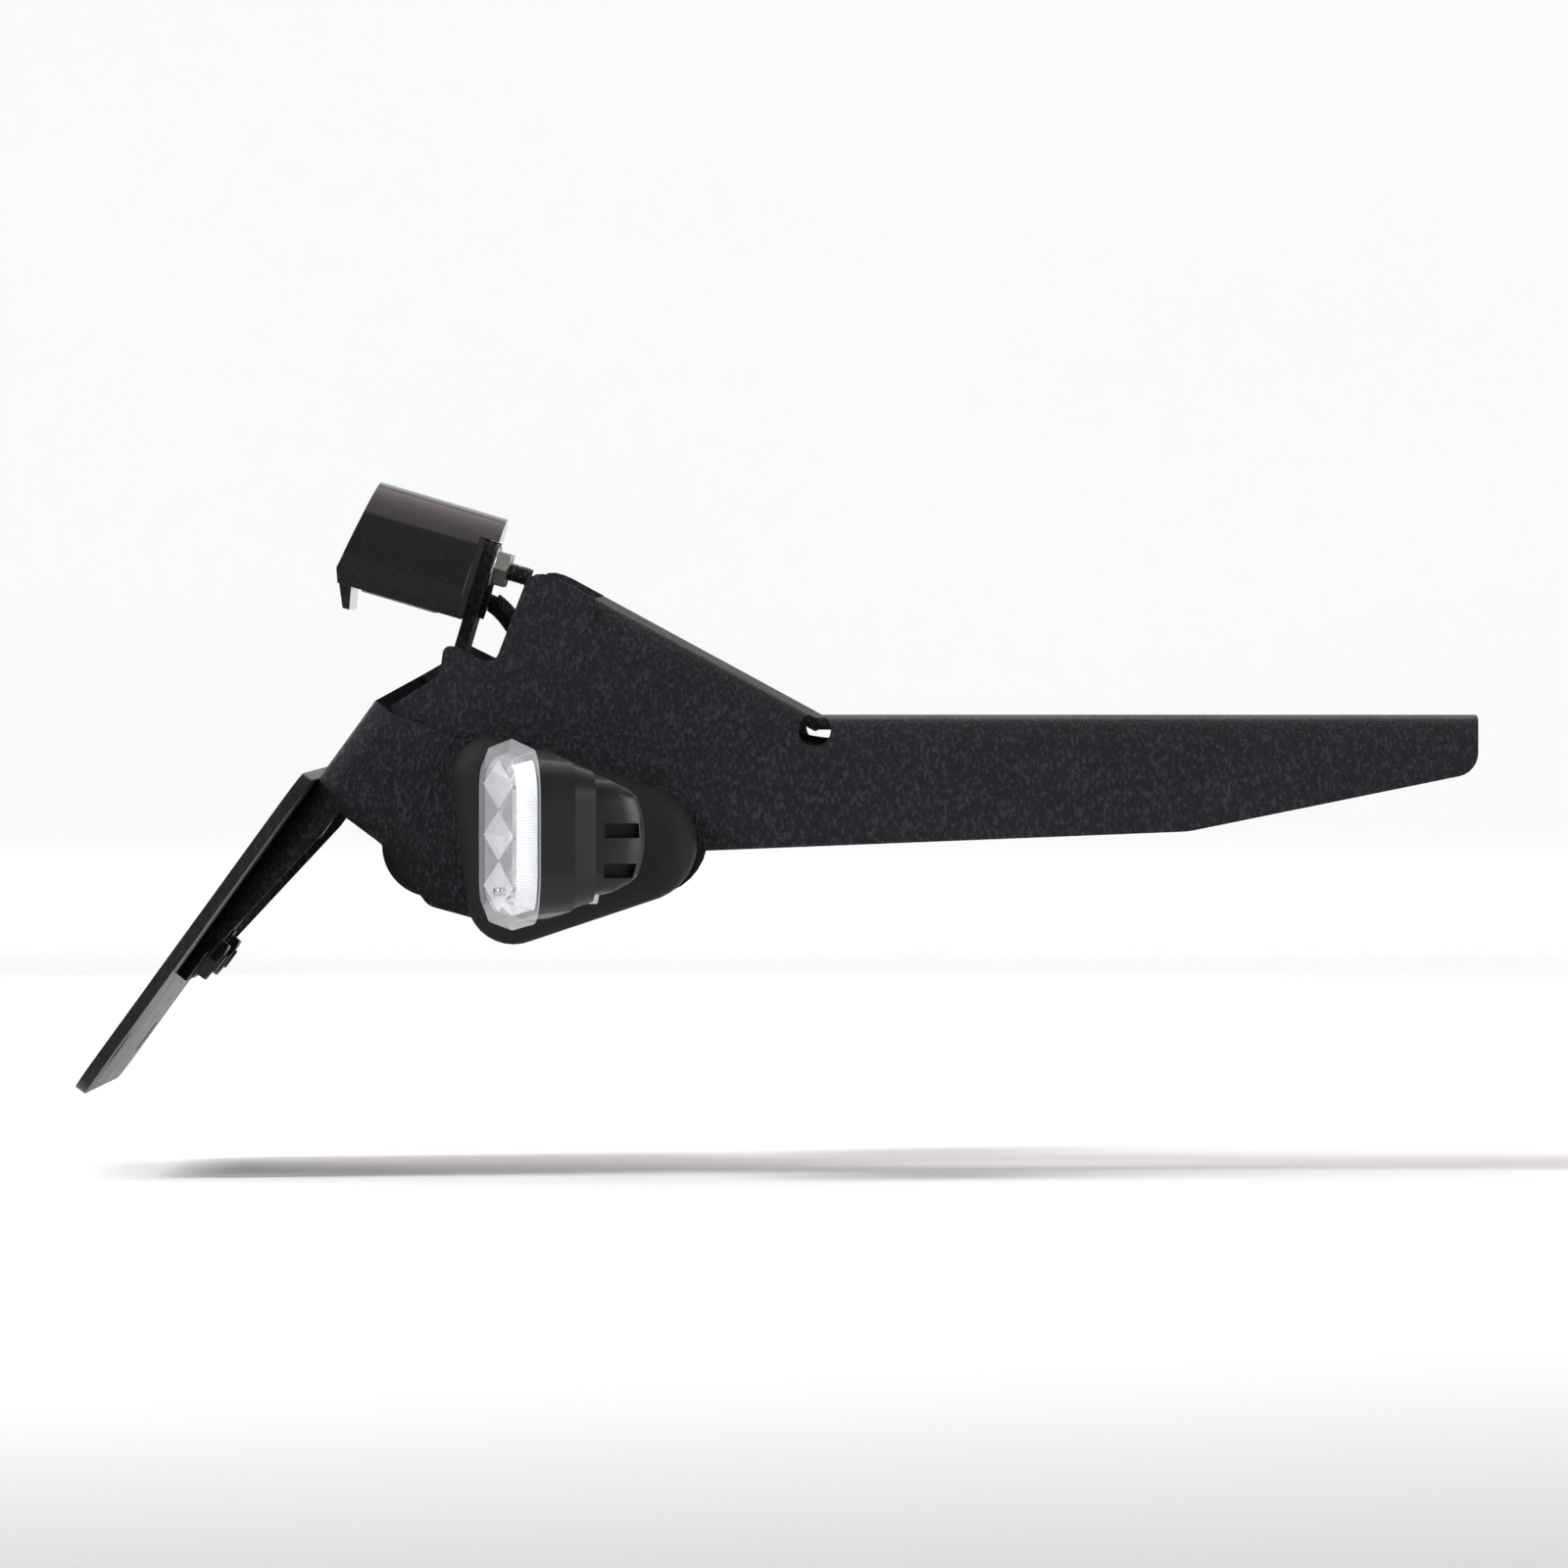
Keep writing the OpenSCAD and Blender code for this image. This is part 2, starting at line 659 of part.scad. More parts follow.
module lead_grommet() {
    color("black")
        leaning(tab_end, tab_lean)
            translate([0, lamp_lead_y, 0])
                rotate_extrude()
                    difference() {
                        union() {
                            translate([0, -sheet_t - 1]) square([grommet_neck_r, sheet_t + 2]);
                            square([grommet_flange_r, lamp_gasket_t]);
                            translate([0, -sheet_t - 1]) square([grommet_flange_r, 1]);
                        }
                        translate([0, -9]) square([lead_r + seat_gap, 20]);
                    }
}

// Lamp lead: the route that it takes from the lamp down into the arm and along the deck
lead_hole = tab_end + tab_way * lamp_lead_y;
lead_deck_z = -4.8;
front_end_x = deck_l / 2;
lead_route = concat(
    [for (d = [-5, -2.5, 0]) lead_hole + tab_front * d],
    [for (p = [[3.6, -1.3], [5.2, -2.7], [7, -5], [9.1, -8.6]]) lead_hole + p],
    [for (p = [[-46, 8.2], [-42, 5.6], [-37, 3.9], [-29, 3], [-21, 2.2], [-14, 0.2], [-7, -2.8],
               [0, -4.6]]) [knee_x, 0] + p],
    [for (x = [knee_x + 7, knee_x + 25, -10, 10, front_end_x - 19]) [x, lead_deck_z]]);
sleeve_from = 3;
sleeve_to = 11;
lead_sides = 8;

function part_of(list, from, to) = [for (i = [from:to]) list[i]];
function along(route, i) =
    let (a = route[max(0, i - 1)], b = route[min(len(route) - 1, i + 1)]) unit(b - a);
function ring_points(route, r) =
    [for (i = [0:len(route) - 1], k = [0:lead_sides - 1])
        let (d = along(route, i), turn = 360 * (k + 0.5) / lead_sides)
        [route[i][0] - d[1] * r * cos(turn), r * sin(turn), route[i][1] + d[0] * r * cos(turn)]];
// A tube swept along the route. Its wall is solid where bore is 0, and else it is hollow
module swept_tube(route, r, bore = 0) {
    n = len(route);
    s = lead_sides;
    inner = n * s;
    outside = [for (i = [0:n - 2], k = [0:s - 1])
        [i * s + k, (i + 1) * s + k, (i + 1) * s + (k + 1) % s, i * s + (k + 1) % s]];
    inside = [for (f = outside) [for (k = [3:-1:0]) f[k] + inner]];
    discs = [[for (k = [0:s - 1]) k], [for (k = [s - 1:-1:0]) (n - 1) * s + k]];
    rims = [for (i = [0, n - 1], k = [0:s - 1])
        let (a = i * s + k, b = i * s + (k + 1) % s)
        i == 0 ? [a, b, b + inner, a + inner] : [b, a, a + inner, b + inner]];
    if (bore > 0)
        polyhedron(concat(ring_points(route, r), ring_points(route, bore)),
                   concat(outside, inside, rims));
    else
        polyhedron(ring_points(route, r), concat(outside, discs));
}

module lamp_lead() {
    color("black") swept_tube(lead_route, lead_r);
}

module lead_sleeve() {
    color("black")
        swept_tube(part_of(lead_route, sleeve_from, sleeve_to), lead_sleeve_r, lead_r + seat_gap);
}

clip_xs = [knee_x + 13, -21, front_end_x - 33];
module lead_clips() {
    clip_l = 8;
    ring_r = lead_r + 1.2;
    color("black")
        for (x = clip_xs)
            difference() {
                union() {
                    translate([x - clip_l / 2, -5, lead_deck_z + ring_r - 0.8])
                        cube([clip_l, 10, -sheet_t - (lead_deck_z + ring_r - 0.8)]);
                    translate([x - clip_l / 4, 0, lead_deck_z])
                        rotate([0, 90, 0]) cylinder(r = ring_r, h = clip_l / 2);
                }
                translate([x - clip_l, 0, lead_deck_z])
                    rotate([0, 90, 0]) cylinder(r = lead_r + seat_gap, h = 2 * clip_l);
            }
}

module lead_connector() {
    plug_l = 14;
    plug_w = 10;
    plug_h = 6;
    pin_room = 2.4;
    color("black")
        translate([lead_route[len(lead_route) - 1][0], 0, -sheet_t - plug_h])
            difference() {
                union() {
                    translate([0, -plug_w / 2, 0]) cube([plug_l, plug_w, plug_h]);
                    translate([4, -1.5, -1.2]) cube([7, 3, 1.3]);
                }
                for (y = [-1, 1])
                    translate([plug_l - 8, y * 2.3 - pin_room / 2, (plug_h - pin_room) / 2])
                        cube([9, pin_room, pin_room]);
            }
}

// Indicators. Each is drawn on the right side, and mirrored for the left
module on_side(side) {
    mirror([0, side == "left" ? 1 : 0, 0]) children();
}

// Draws a side outline that grows outwards from the distance q outside the right cheek
module outwards(q, h) {
    translate([0, -cheek_y - q, 0])
        rotate([90, 0, 0])
            linear_extrude(h) children();
}

module base_shape(inset) {
    hull()
        for (i = [0:2])
            translate(base_middles[i]) circle(r = base_radii[i] - inset, $fn = 32);
}

module base_gasket(side) {
    color("black")
        on_side(side)
            difference() {
                outwards(0, base_gasket_t) base_shape(0);
                base_holes();
            }
}

module base_holes() {
    for (p = base_screw_at)
        cross_pin(p, -cheek_y - base_gasket_t - base_screw_depth, -half_w, base_screw_r + seat_gap);
    cross_pin(base_lead_at, -cheek_y - base_gasket_t - base_h + 2, -half_w, base_lead_r);
}

base_screw_depth = 7;
head_q = base_gasket_t + base_h + stem_l;
head_at = base_lead_at - [head_back, head_low];
stem_at = (base_lead_at + head_at) / 2;
plug_r = 3;
stem_head_r = 4.4;
stem_x = (band_d + step_d) / 2 - band_d;

// Puts a child into the frame of the right head: X forward, -Y outboard, Z up
module in_head() {
    translate([head_at[0], -cheek_y - head_q, head_at[1]])
        rotate([0, 0, head_turn]) children();
}

// The rounded outline of the head, as a thin slab at x, drawn in by an inset all round
head_corner_in = 9;
head_corner_out = 8.5;
module head_slab(x, inset, t = 0.01) {
    for (s = [-1, 1]) {
        translate([x, -head_corner_in, s * (head_h / 2 - head_corner_in)])
            rotate([0, 90, 0]) cylinder(r = head_corner_in - inset, h = t, $fn = 32);
        translate([x, -head_w + head_corner_out, s * ((head_h - head_taper) / 2 - head_corner_out)])
            rotate([0, 90, 0]) cylinder(r = head_corner_out - inset, h = t, $fn = 32);
    }
}

band_inset = 1.6;
step_inset = 2.6;
step_end_inset = 3.8;
seam_x = -band_d;
step_x = 0;
cap_x = step_d;
lens_x = -band_d - lens_d;

module base(side) {
    color("black")
        on_side(side)
            difference() {
                union() {
                    translate([0, -cheek_y - base_gasket_t, 0]) base_body();
                    stem();
                }
                base_holes();
            }
}

module base_body() {
    rounds = 4;
    hull()
        for (k = [0:rounds])
            let (a = 90 * k / rounds,
                 q = k == 0 ? 0 : base_h - base_round * (1 - sin(a)),
                 inset = base_round * (1 - cos(a)) * 0.9)
                translate([0, -q, 0])
                    rotate([90, 0, 0])
                        linear_extrude(0.01)
                            for (i = [0:2])
                                translate(base_middles[i])
                                    circle(r = base_radii[i] - inset, $fn = 32);
}

module stem() {
    hull() {
        translate([stem_at[0], -cheek_y - base_gasket_t - base_h + 0.5, stem_at[1]])
            rotate([90, 0, 0]) cylinder(r = stem_r, h = 0.5, $fn = 32);
        in_head()
            translate([stem_x, 0.7, 0])
                rotate([90, 0, 0]) cylinder(r = stem_head_r, h = 0.7 + band_inset, $fn = 32);
    }
    in_head()
        translate([stem_x, 0, 0])
            rotate([90, 0, 0]) cylinder(r = plug_r, h = band_inset + head_wall + 1);
}

module head_cut(x, y, z, r, h) {
    translate([x, y, z]) rotate([0, 90, 0]) cylinder(r = r, h = h);
}

screw_y = -head_w + 13;
screw_z = -head_h / 2 + 7;
holder_r = 8;
head_mid_y = -head_w / 2 + 1.5;

module housing(side) {
    color("black")
        on_side(side)
            in_head()
                difference() {
                    union() {
                        hull() {
                            head_slab(seam_x, band_inset);
                            head_slab(step_x - 0.01, band_inset + 0.6);
                        }
                        hull() {
                            head_slab(step_x - 0.02, step_inset);
                            head_slab(cap_x - 0.01, step_end_inset);
                        }
                        translate([stem_x, -band_inset, 0])
                            rotate([90, 0, 0]) cylinder(r = stem_head_r, h = 3);
                    }
                    hull() {
                        head_slab(seam_x - 1, band_inset + head_wall);
                        head_slab(cap_x - head_wall, step_end_inset + head_wall - 0.6);
                    }
                    head_cut(cap_x - 5, head_mid_y, 0, holder_r + seat_gap, 10);
                    head_cut(cap_x - 5, screw_y, screw_z, 1, 10);
                    translate([stem_x, 5, 0])
                        rotate([90, 0, 0]) cylinder(r = plug_r + seat_gap, h = 10);
                }
}

module bulb_holder(side) {
    slot_h = 2.4;
    color("black")
        on_side(side)
            in_head()
                difference() {
                    union() {
                        hull() {
                            head_slab(cap_x, step_end_inset + 1.2);
                            head_slab(cap_x + 0.55 * cap_d, step_end_inset + 1.6);
                            head_slab(cap_x + 0.9 * cap_d, step_end_inset + 3.1);
                            head_slab(cap_x + cap_d, step_end_inset + 4);
                        }
                        head_cut(-band_d + 1, head_mid_y, 0, holder_r, cap_x + band_d);
                    }
                    head_cut(-band_d, head_mid_y, 0, 3.1, 7);
                    for (z = [1, -5.6])
                        translate([cap_x + 1.6, -head_w, z - slot_h / 2])
                            cube([cap_d - 2.6, 11, slot_h]);
                    head_cut(cap_x - 1, screw_y, screw_z, 2.6, 4.2);
                }
}

module bulb(side) {
    envelope_r = 5;
    color("silver")
        on_side(side)
            in_head()
                translate([-band_d + 1, head_mid_y, 0])
                    rotate([0, -90, 0])
                        rotate_extrude()
                            union() {
                                translate([0, -4]) square([3, 5]);
                                square([envelope_r, 3]);
                                translate([0, 3])
                                    intersection() {
                                        circle(r = envelope_r);
                                        square([envelope_r, envelope_r]);
                                    }
                            }
}

// The reflector is a cup with a faceted bowl. Its skirt sits in the housing, and its rim
// stands inside the lens, where it shows through the lens's clear end
module reflector(side) {
    rim_x = lens_x + 3.4;
    skirt_x = seam_x + 4.5;
    rim_inset = 4.7;
    seat_inset = 0.2 + head_wall + 0.6;
    skirt_inset = band_inset + head_wall + 0.8;
    bowl_r = 9.4;
    bowl_floor_r = holder_r + 0.7;
    facets = 12;
    color("silver")
        on_side(side)
            in_head()
                difference() {
                    union() {
                        hull() {
                            head_slab(rim_x, rim_inset);
                            head_slab(seam_x - 0.4, seat_inset);
                        }
                        hull() {
                            head_slab(seam_x - 0.4, skirt_inset);
                            head_slab(skirt_x, skirt_inset + 1.8);
                        }
                    }
                    translate([rim_x - 0.1, head_mid_y, 0])
                        rotate([0, 90, 0])
                            scale([1, 1.3, 1])
                                cylinder(r1 = bowl_r, r2 = bowl_floor_r,
                                         h = skirt_x - rim_x - 1.5, $fn = facets);
                    for (k = [0:facets / 2 - 1])
                        translate([rim_x - 0.1, head_mid_y, 0])
                            rotate([360 * (k + 0.5) / (facets / 2), 0, 0])
                                scale([1, 1.1, 1])
                                    translate([0, 0, bowl_r - 1.2])
                                        rotate([0, 90, 0])
                                            cylinder(r1 = 2.6, r2 = 0.4, h = 5, $fn = 3);
                    head_cut(rim_x, head_mid_y, 0, holder_r + 0.4, skirt_x - rim_x + 1);
                    head_cut(rim_x - 1, screw_y, screw_z, 3, skirt_x - rim_x + 3);
                }
}

module lens(side) {
    boss_r = 2.4;
    color("white", 0.4)
        on_side(side)
            in_head()
                difference() {
                    union() {
                        difference() {
                            hull() {
                                head_slab(lens_x, 4.4);
                                head_slab(lens_x + 2.6, 1.6);
                                head_slab(seam_x - seat_gap - 0.01, 0.2);
                            }
                            hull() {
                                head_slab(lens_x + head_wall, 5.2);
                                head_slab(lens_x + 2.6 + head_wall, 1.6 + head_wall);
                                head_slab(seam_x + 1, 0.2 + head_wall);
                            }
                        }
                        head_cut(lens_x + 1, screw_y, screw_z, boss_r, lens_d - 1);
                    }
                    head_cut(seam_x - 7, screw_y, screw_z, 0.85, 10);
                }
}

module lens_screw(side) {
    color("silver")
        on_side(side)
            in_head() {
                head_cut(seam_x - 6, screw_y, screw_z, 0.75, cap_x - seam_x + 6);
                head_cut(cap_x, screw_y, screw_z, 2.1, 1.5);
            }
}

module base_screws(side) {
    washer_t = 1;
    head_l = 2.6;
    color("black")
        on_side(side)
            for (p = base_screw_at) {
                cross_pin(p, -cheek_y - base_gasket_t - base_screw_depth + 0.5,
                          sheet_t + washer_t - half_w, base_screw_r);
                difference() {
                    cross_pin(p, sheet_t + washer_t - half_w, sheet_t + washer_t + head_l - half_w,
                              1.76 * base_screw_r);
                    translate([p[0], sheet_t + washer_t + head_l - half_w + 1, p[1]])
                        rotate([90, 0, 0]) cylinder(r = 0.68 * base_screw_r, h = 2.4, $fn = 6);
                }
            }
}

module base_washers(side) {
    color("black")
        on_side(side)
            for (p = base_screw_at)
                translate([p[0], sheet_t + 1 - half_w, p[1]])
                    rotate([90, 0, 0]) washer(base_screw_r + hole_gap, 2 * base_screw_r, 1);
}

arm();
plate_hanger();
cross_sleeve();
plate_carrier();
carrier_screws();
carrier_washers();
carrier_nuts();
lamp_housing();
lamp_gasket();
lamp_lens();
lamp_board();
lamp_leds();
lamp_screws();
lamp_washers();
lamp_nuts();
lead_grommet();
lamp_lead();
lead_sleeve();
lead_clips();
lead_connector();
base_gasket("right");  // right_base_gasket
base("right");  // right_base
base_screws("right");  // right_base_screws
base_washers("right");  // right_base_washers
housing("right");  // right_housing
bulb_holder("right");  // right_bulb_holder
reflector("right");  // right_reflector
bulb("right");  // right_bulb
lens("right");  // right_lens
lens_screw("right");  // right_lens_screw
base_gasket("left");  // left_base_gasket
base("left");  // left_base
base_screws("left");  // left_base_screws
base_washers("left");  // left_base_washers
housing("left");  // left_housing
bulb_holder("left");  // left_bulb_holder
reflector("left");  // left_reflector
bulb("left");  // left_bulb
lens("left");  // left_lens
lens_screw("left");  // left_lens_screw
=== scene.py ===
from math import cos, pi, radians, sin, sqrt, tan

import bmesh
import bpy
from mathutils import Matrix, Vector


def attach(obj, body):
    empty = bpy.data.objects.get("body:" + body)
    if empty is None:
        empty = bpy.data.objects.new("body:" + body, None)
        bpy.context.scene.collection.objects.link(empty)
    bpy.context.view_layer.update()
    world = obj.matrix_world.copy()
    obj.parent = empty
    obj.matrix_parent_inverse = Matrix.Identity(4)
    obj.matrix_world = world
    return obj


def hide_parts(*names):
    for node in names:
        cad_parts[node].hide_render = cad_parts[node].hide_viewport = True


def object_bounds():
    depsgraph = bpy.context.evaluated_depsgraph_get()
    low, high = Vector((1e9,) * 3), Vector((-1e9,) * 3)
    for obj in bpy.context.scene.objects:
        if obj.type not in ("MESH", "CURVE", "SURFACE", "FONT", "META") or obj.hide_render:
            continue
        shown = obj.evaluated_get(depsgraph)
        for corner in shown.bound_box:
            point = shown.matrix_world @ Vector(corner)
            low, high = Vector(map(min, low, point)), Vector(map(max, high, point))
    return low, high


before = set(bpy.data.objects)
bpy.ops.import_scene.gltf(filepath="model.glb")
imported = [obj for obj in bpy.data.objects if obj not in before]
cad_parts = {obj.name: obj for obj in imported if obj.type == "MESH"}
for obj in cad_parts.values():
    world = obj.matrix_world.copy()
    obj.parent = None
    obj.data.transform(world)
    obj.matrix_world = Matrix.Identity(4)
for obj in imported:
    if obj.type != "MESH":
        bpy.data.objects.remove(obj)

cad_low, cad_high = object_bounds()
scene = bpy.context.scene
mm = 0.001


# The studio. A pale floor sweeps up all round into a pale wall, soft lamps stand above, behind
# and beside the part, and the camera looks from the right-hand side with a long lens.
VIEW_TURN = radians(1.3)
VIEW_RISE = radians(0.7)
CAMERA_DISTANCE = 4.0
FRAMED_WIDTH = 0.262
SENSOR_WIDTH = 36
FLOOR_GAP = 0.014
ROOM_R = 5.2
ROOM_H = 3.2
SWEEP_R = 1.4
SWEEP_STEPS = 20
ROOM_TURNS = 64
FLOOR_EYE_R = 0.02
AIR_STRENGTH = 0.32


class Wire:
    """An output of a node. Sums and products of wires add Math nodes."""

    def __init__(self, plan, out):
        self.plan, self.out = plan, out

    def maths(self, operation, other=0.0, reflected=False):
        """A Math node on this wire and another value, the other one first if reflected."""
        first, second = (other, self) if reflected else (self, other)
        return self.plan.add("ShaderNodeMath", {"operation": operation}, {0: first, 1: second})

    def __add__(self, other):
        return self.maths("ADD", other)

    def __sub__(self, other):
        return self.maths("SUBTRACT", other)

    def __rsub__(self, other):
        return self.maths("SUBTRACT", other, reflected=True)

    def __mul__(self, other):
        return self.maths("MULTIPLY", other)

    def __truediv__(self, other):
        return self.maths("DIVIDE", other)

    def __rtruediv__(self, other):
        return self.maths("DIVIDE", other, reflected=True)

    __radd__ = __add__
    __rmul__ = __mul__


class Plan:
    """A tree of nodes, drawn up one node at a time."""

    def __init__(self, tree):
        self.tree = tree

    def add(self, kind, settings, sockets, out=0):
        """Adds a node: its settings, then the values or wires of its sockets."""
        node = self.tree.nodes.new(kind)
        stops = settings.pop("stops", None)
        for name, value in settings.items():
            setattr(node, name, value)
        if stops:
            ramp = node.color_ramp.elements
            while len(ramp) < len(stops):
                ramp.new(0.5)
            for element, (place, grey) in zip(ramp, stops):
                element.position = place
                element.color = (grey, grey, grey, 1)
        for name, value in sockets.items():
            for one in value if isinstance(value, list) else [value]:
                if isinstance(one, Wire):
                    self.tree.links.new(one.out, node.inputs[name])
                else:
                    node.inputs[name].default_value = one
        return Wire(self, node.outputs[out]) if node.outputs else None


class Paint(Plan):
    """A material: fixed values go on the shader's sockets, and wires feed what varies."""

    def __init__(self, name, colour, **fixed):
        self.material = bpy.data.materials.new(name)
        self.material.use_nodes = True
        super().__init__(self.material.node_tree)
        self.shader = self.tree.nodes["Principled BSDF"]
        self.shader.inputs["Base Color"].default_value = (*colour, 1)
        for socket, value in fixed.items():
            self.shader.inputs[socket.replace("_", " ")].default_value = value
        self.at = self.add("ShaderNodeTexCoord", {}, {}, "Object")

    def noise(self, size, detail=2.0, rough=0.5, stretch=(1, 1, 1), twist=0.0):
        """Noise with blotches of about a size in metres."""
        at = self.add("ShaderNodeMapping", {}, {"Vector": self.at, "Scale": stretch})
        return self.add("ShaderNodeTexNoise", {}, {
            "Vector": at, "Scale": 1 / size, "Detail": detail, "Roughness": rough,
            "Distortion": twist})

    def steps(self, wire, *stops):
        return self.add("ShaderNodeValToRGB", {"stops": stops}, {0: wire})

    def blend(self, factor, first, second):
        return self.add("ShaderNodeMix", {"data_type": "RGBA"},
                        {0: factor, 6: (*first, 1), 7: (*second, 1)}, 2)

    def bump(self, height, depth, strength=1.0):
        self.feed("Normal", self.add("ShaderNodeBump", {}, {
            "Height": height, "Distance": depth, "Strength": strength}))

    def feed(self, socket, wire):
        self.tree.links.new(wire.out, self.shader.inputs[socket])


def mesh_object(name, points, faces, material, smooth=35):
    """A new object from points and faces, shaded smooth up to an angle in degrees."""
    mesh = bpy.data.meshes.new(name)
    mesh.from_pydata([tuple(p) for p in points], [], faces)
    mesh.update()
    thing = bpy.data.objects.new(name, mesh)
    scene.collection.objects.link(thing)
    mesh.materials.append(material)
    mesh.shade_smooth()
    mesh.set_sharp_from_angle(angle=radians(smooth))
    return thing


aim = (cad_low + cad_high) / 2
floor_z = cad_low.z - FLOOR_GAP
sweep_angles = [pi / 2 * k / SWEEP_STEPS for k in range(SWEEP_STEPS + 1)]
sweep = [(FLOOR_EYE_R, 0.0)] + [
    (ROOM_R - SWEEP_R + SWEEP_R * sin(a), SWEEP_R - SWEEP_R * cos(a))
    for a in sweep_angles] + [(ROOM_R, ROOM_H)]
paper = Paint("studio_paper", (0.93, 0.93, 0.93), Roughness=0.9, Specular_IOR_Level=0.1)
paper.feed("Base Color", paper.blend(paper.noise(0.4), (0.92, 0.92, 0.92), (0.95, 0.95, 0.95)))
rows = len(sweep)
floor_points = [(r * cos(2 * pi * k / ROOM_TURNS), r * sin(2 * pi * k / ROOM_TURNS), floor_z + z)
                for k in range(ROOM_TURNS) for r, z in sweep]
floor_faces = [(k * rows + i, k * rows + i + 1, (k + 1) % ROOM_TURNS * rows + i + 1,
                (k + 1) % ROOM_TURNS * rows + i)
               for k in range(ROOM_TURNS) for i in range(rows - 1)]
floor_eye = [k * rows for k in range(ROOM_TURNS)]
floor = mesh_object("studio_floor", floor_points, floor_faces + [floor_eye], paper.material)

back = Vector((sin(VIEW_TURN) * cos(VIEW_RISE), -cos(VIEW_TURN) * cos(VIEW_RISE),
               sin(VIEW_RISE)))
camera = bpy.data.objects.new("camera", bpy.data.cameras.new("camera"))
scene.collection.objects.link(camera)
camera.location = aim + back * CAMERA_DISTANCE
camera.rotation_mode = "QUATERNION"
camera.rotation_quaternion = (-back).to_track_quat("-Z", "Y")
camera.data.sensor_width = SENSOR_WIDTH
camera.data.lens = SENSOR_WIDTH * CAMERA_DISTANCE / FRAMED_WIDTH
camera.data.clip_start = 0.05
camera.data.clip_end = 30
scene.camera = camera


def soft_lamp(name, place, width, height, watts, tint=(1, 1, 1), target=(0, 0, 0)):
    """A soft lamp at a place from the part's middle, turned to face a target."""
    lamp = bpy.data.objects.new(name, bpy.data.lights.new(name, "AREA"))
    scene.collection.objects.link(lamp)
    lamp.data.shape = "RECTANGLE"
    lamp.data.size, lamp.data.size_y = width, height
    lamp.data.energy = watts
    lamp.data.color = tint
    lamp.visible_camera = False
    lamp.location = aim + Vector(place)
    lamp.rotation_mode = "QUATERNION"
    lamp.rotation_quaternion = (Vector(target) - Vector(place)).to_track_quat("-Z", "Y")


soft_lamp("lamp_over", (-0.15, 0.45, 1.1), width=1.4, height=1.3, watts=5.2,
          tint=(1, 0.82, 0.79))
soft_lamp("lamp_key", (-1.2, -0.75, 0.95), width=0.5, height=0.6, watts=26,
          tint=(0.96, 0.97, 1))
soft_lamp("lamp_front", (1.3, -0.4, 0.3), width=0.5, height=0.7, watts=10,
          tint=(0.95, 0.97, 1))
soft_lamp("lamp_wall", (0, 2.0, 2.2), width=3.0, height=1.2, watts=62, target=(0, 5.0, 0.2))
soft_lamp("lamp_left", (-0.5, 1.3, 0.5), width=0.8, height=0.8, watts=4)
scene.world = bpy.data.worlds.new("studio_air")
scene.world.use_nodes = True
air = scene.world.node_tree.nodes["Background"]
air.inputs["Color"].default_value = (1, 1, 1, 1)
air.inputs["Strength"].default_value = AIR_STRENGTH
scene.view_settings.view_transform = "Standard"


# The arm. One 2 mm steel sheet, cut, drilled and folded to a channel with a level deck, a ramp
# and two flat ears. Its corners are notched at the knee and closed behind the ramp, and it is
# powder coated in wrinkle black.
SHEET_EDGE = 0.3 * mm
TOUCHING = 2e-6
FLATS_WEIGHT = 80
EAR_FOOT_Z = 8.573 * mm
EAR_H = 15.1 * mm
EAR_FROM_X = -91.6 * mm
EAR_BLEND = 6 * mm
EAR_SWEPT = 3.2 * mm
RAMP_SLOPE = tan(radians(28.5))
KNEE_X = -55 * mm
SHEET = 2.0 * mm
ARM_HALF_W = 32 * mm
SLIT_HALF = 0.24 * mm
SLIT_FOOT_Z = 13.6 * mm


def opened(mesh, touching=TOUCHING):
    """A mesh opened for changes, with the corners merged that touch each other."""
    form = bmesh.new()
    form.from_mesh(mesh)
    bmesh.ops.remove_doubles(form, verts=form.verts, dist=touching)
    return form


def closed(form, mesh):
    form.to_mesh(mesh)
    form.free()


def dressed(node, material, slot, edge=SHEET_EDGE, smooth=30, flat_angle=0.4, reshape=None,
            slices=(), source=None):
    """Copies a node's mesh, joins its triangles, softens its sharp edges and replaces it."""
    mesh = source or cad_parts[node].data.copy()
    form = opened(mesh)
    bmesh.ops.dissolve_limit(form, angle_limit=radians(flat_angle), verts=form.verts,
                             edges=form.edges)
    for place, across in slices:
        bmesh.ops.bisect_plane(form, geom=form.verts[:] + form.edges[:] + form.faces[:],
                               plane_co=place, plane_no=across)
    if reshape:
        for corner in form.verts:
            corner.co = reshape(corner.co)
    closed(form, mesh)
    for layer in list(mesh.uv_layers):
        mesh.uv_layers.remove(layer)
    mesh.materials.clear()
    mesh.materials.append(material)
    piece = bpy.data.objects.new(node + "_fine", mesh)
    scene.collection.objects.link(piece)
    mesh.shade_smooth()
    mesh.set_sharp_from_angle(angle=radians(smooth))
    if edge:
        bevel = piece.modifiers.new("edge", "BEVEL")
        bevel.width = edge
        bevel.segments = 2
        bevel.limit_method = "ANGLE"
        bevel.angle_limit = radians(smooth)
        bevel.miter_outer = "MITER_ARC"
        flats = piece.modifiers.new("flats", "WEIGHTED_NORMAL")
        flats.weight = FLATS_WEIGHT
        flats.keep_sharp = True
        baked(piece)
    return settle(piece, slot, node)


def baked(piece):
    """Turns what a piece's modifiers make into its own plain mesh."""
    depsgraph = bpy.context.evaluated_depsgraph_get()
    mesh = bpy.data.meshes.new_from_object(
        piece.evaluated_get(depsgraph), preserve_all_data_layers=True, depsgraph=depsgraph)
    piece.modifiers.clear()
    piece.data = mesh
    return piece


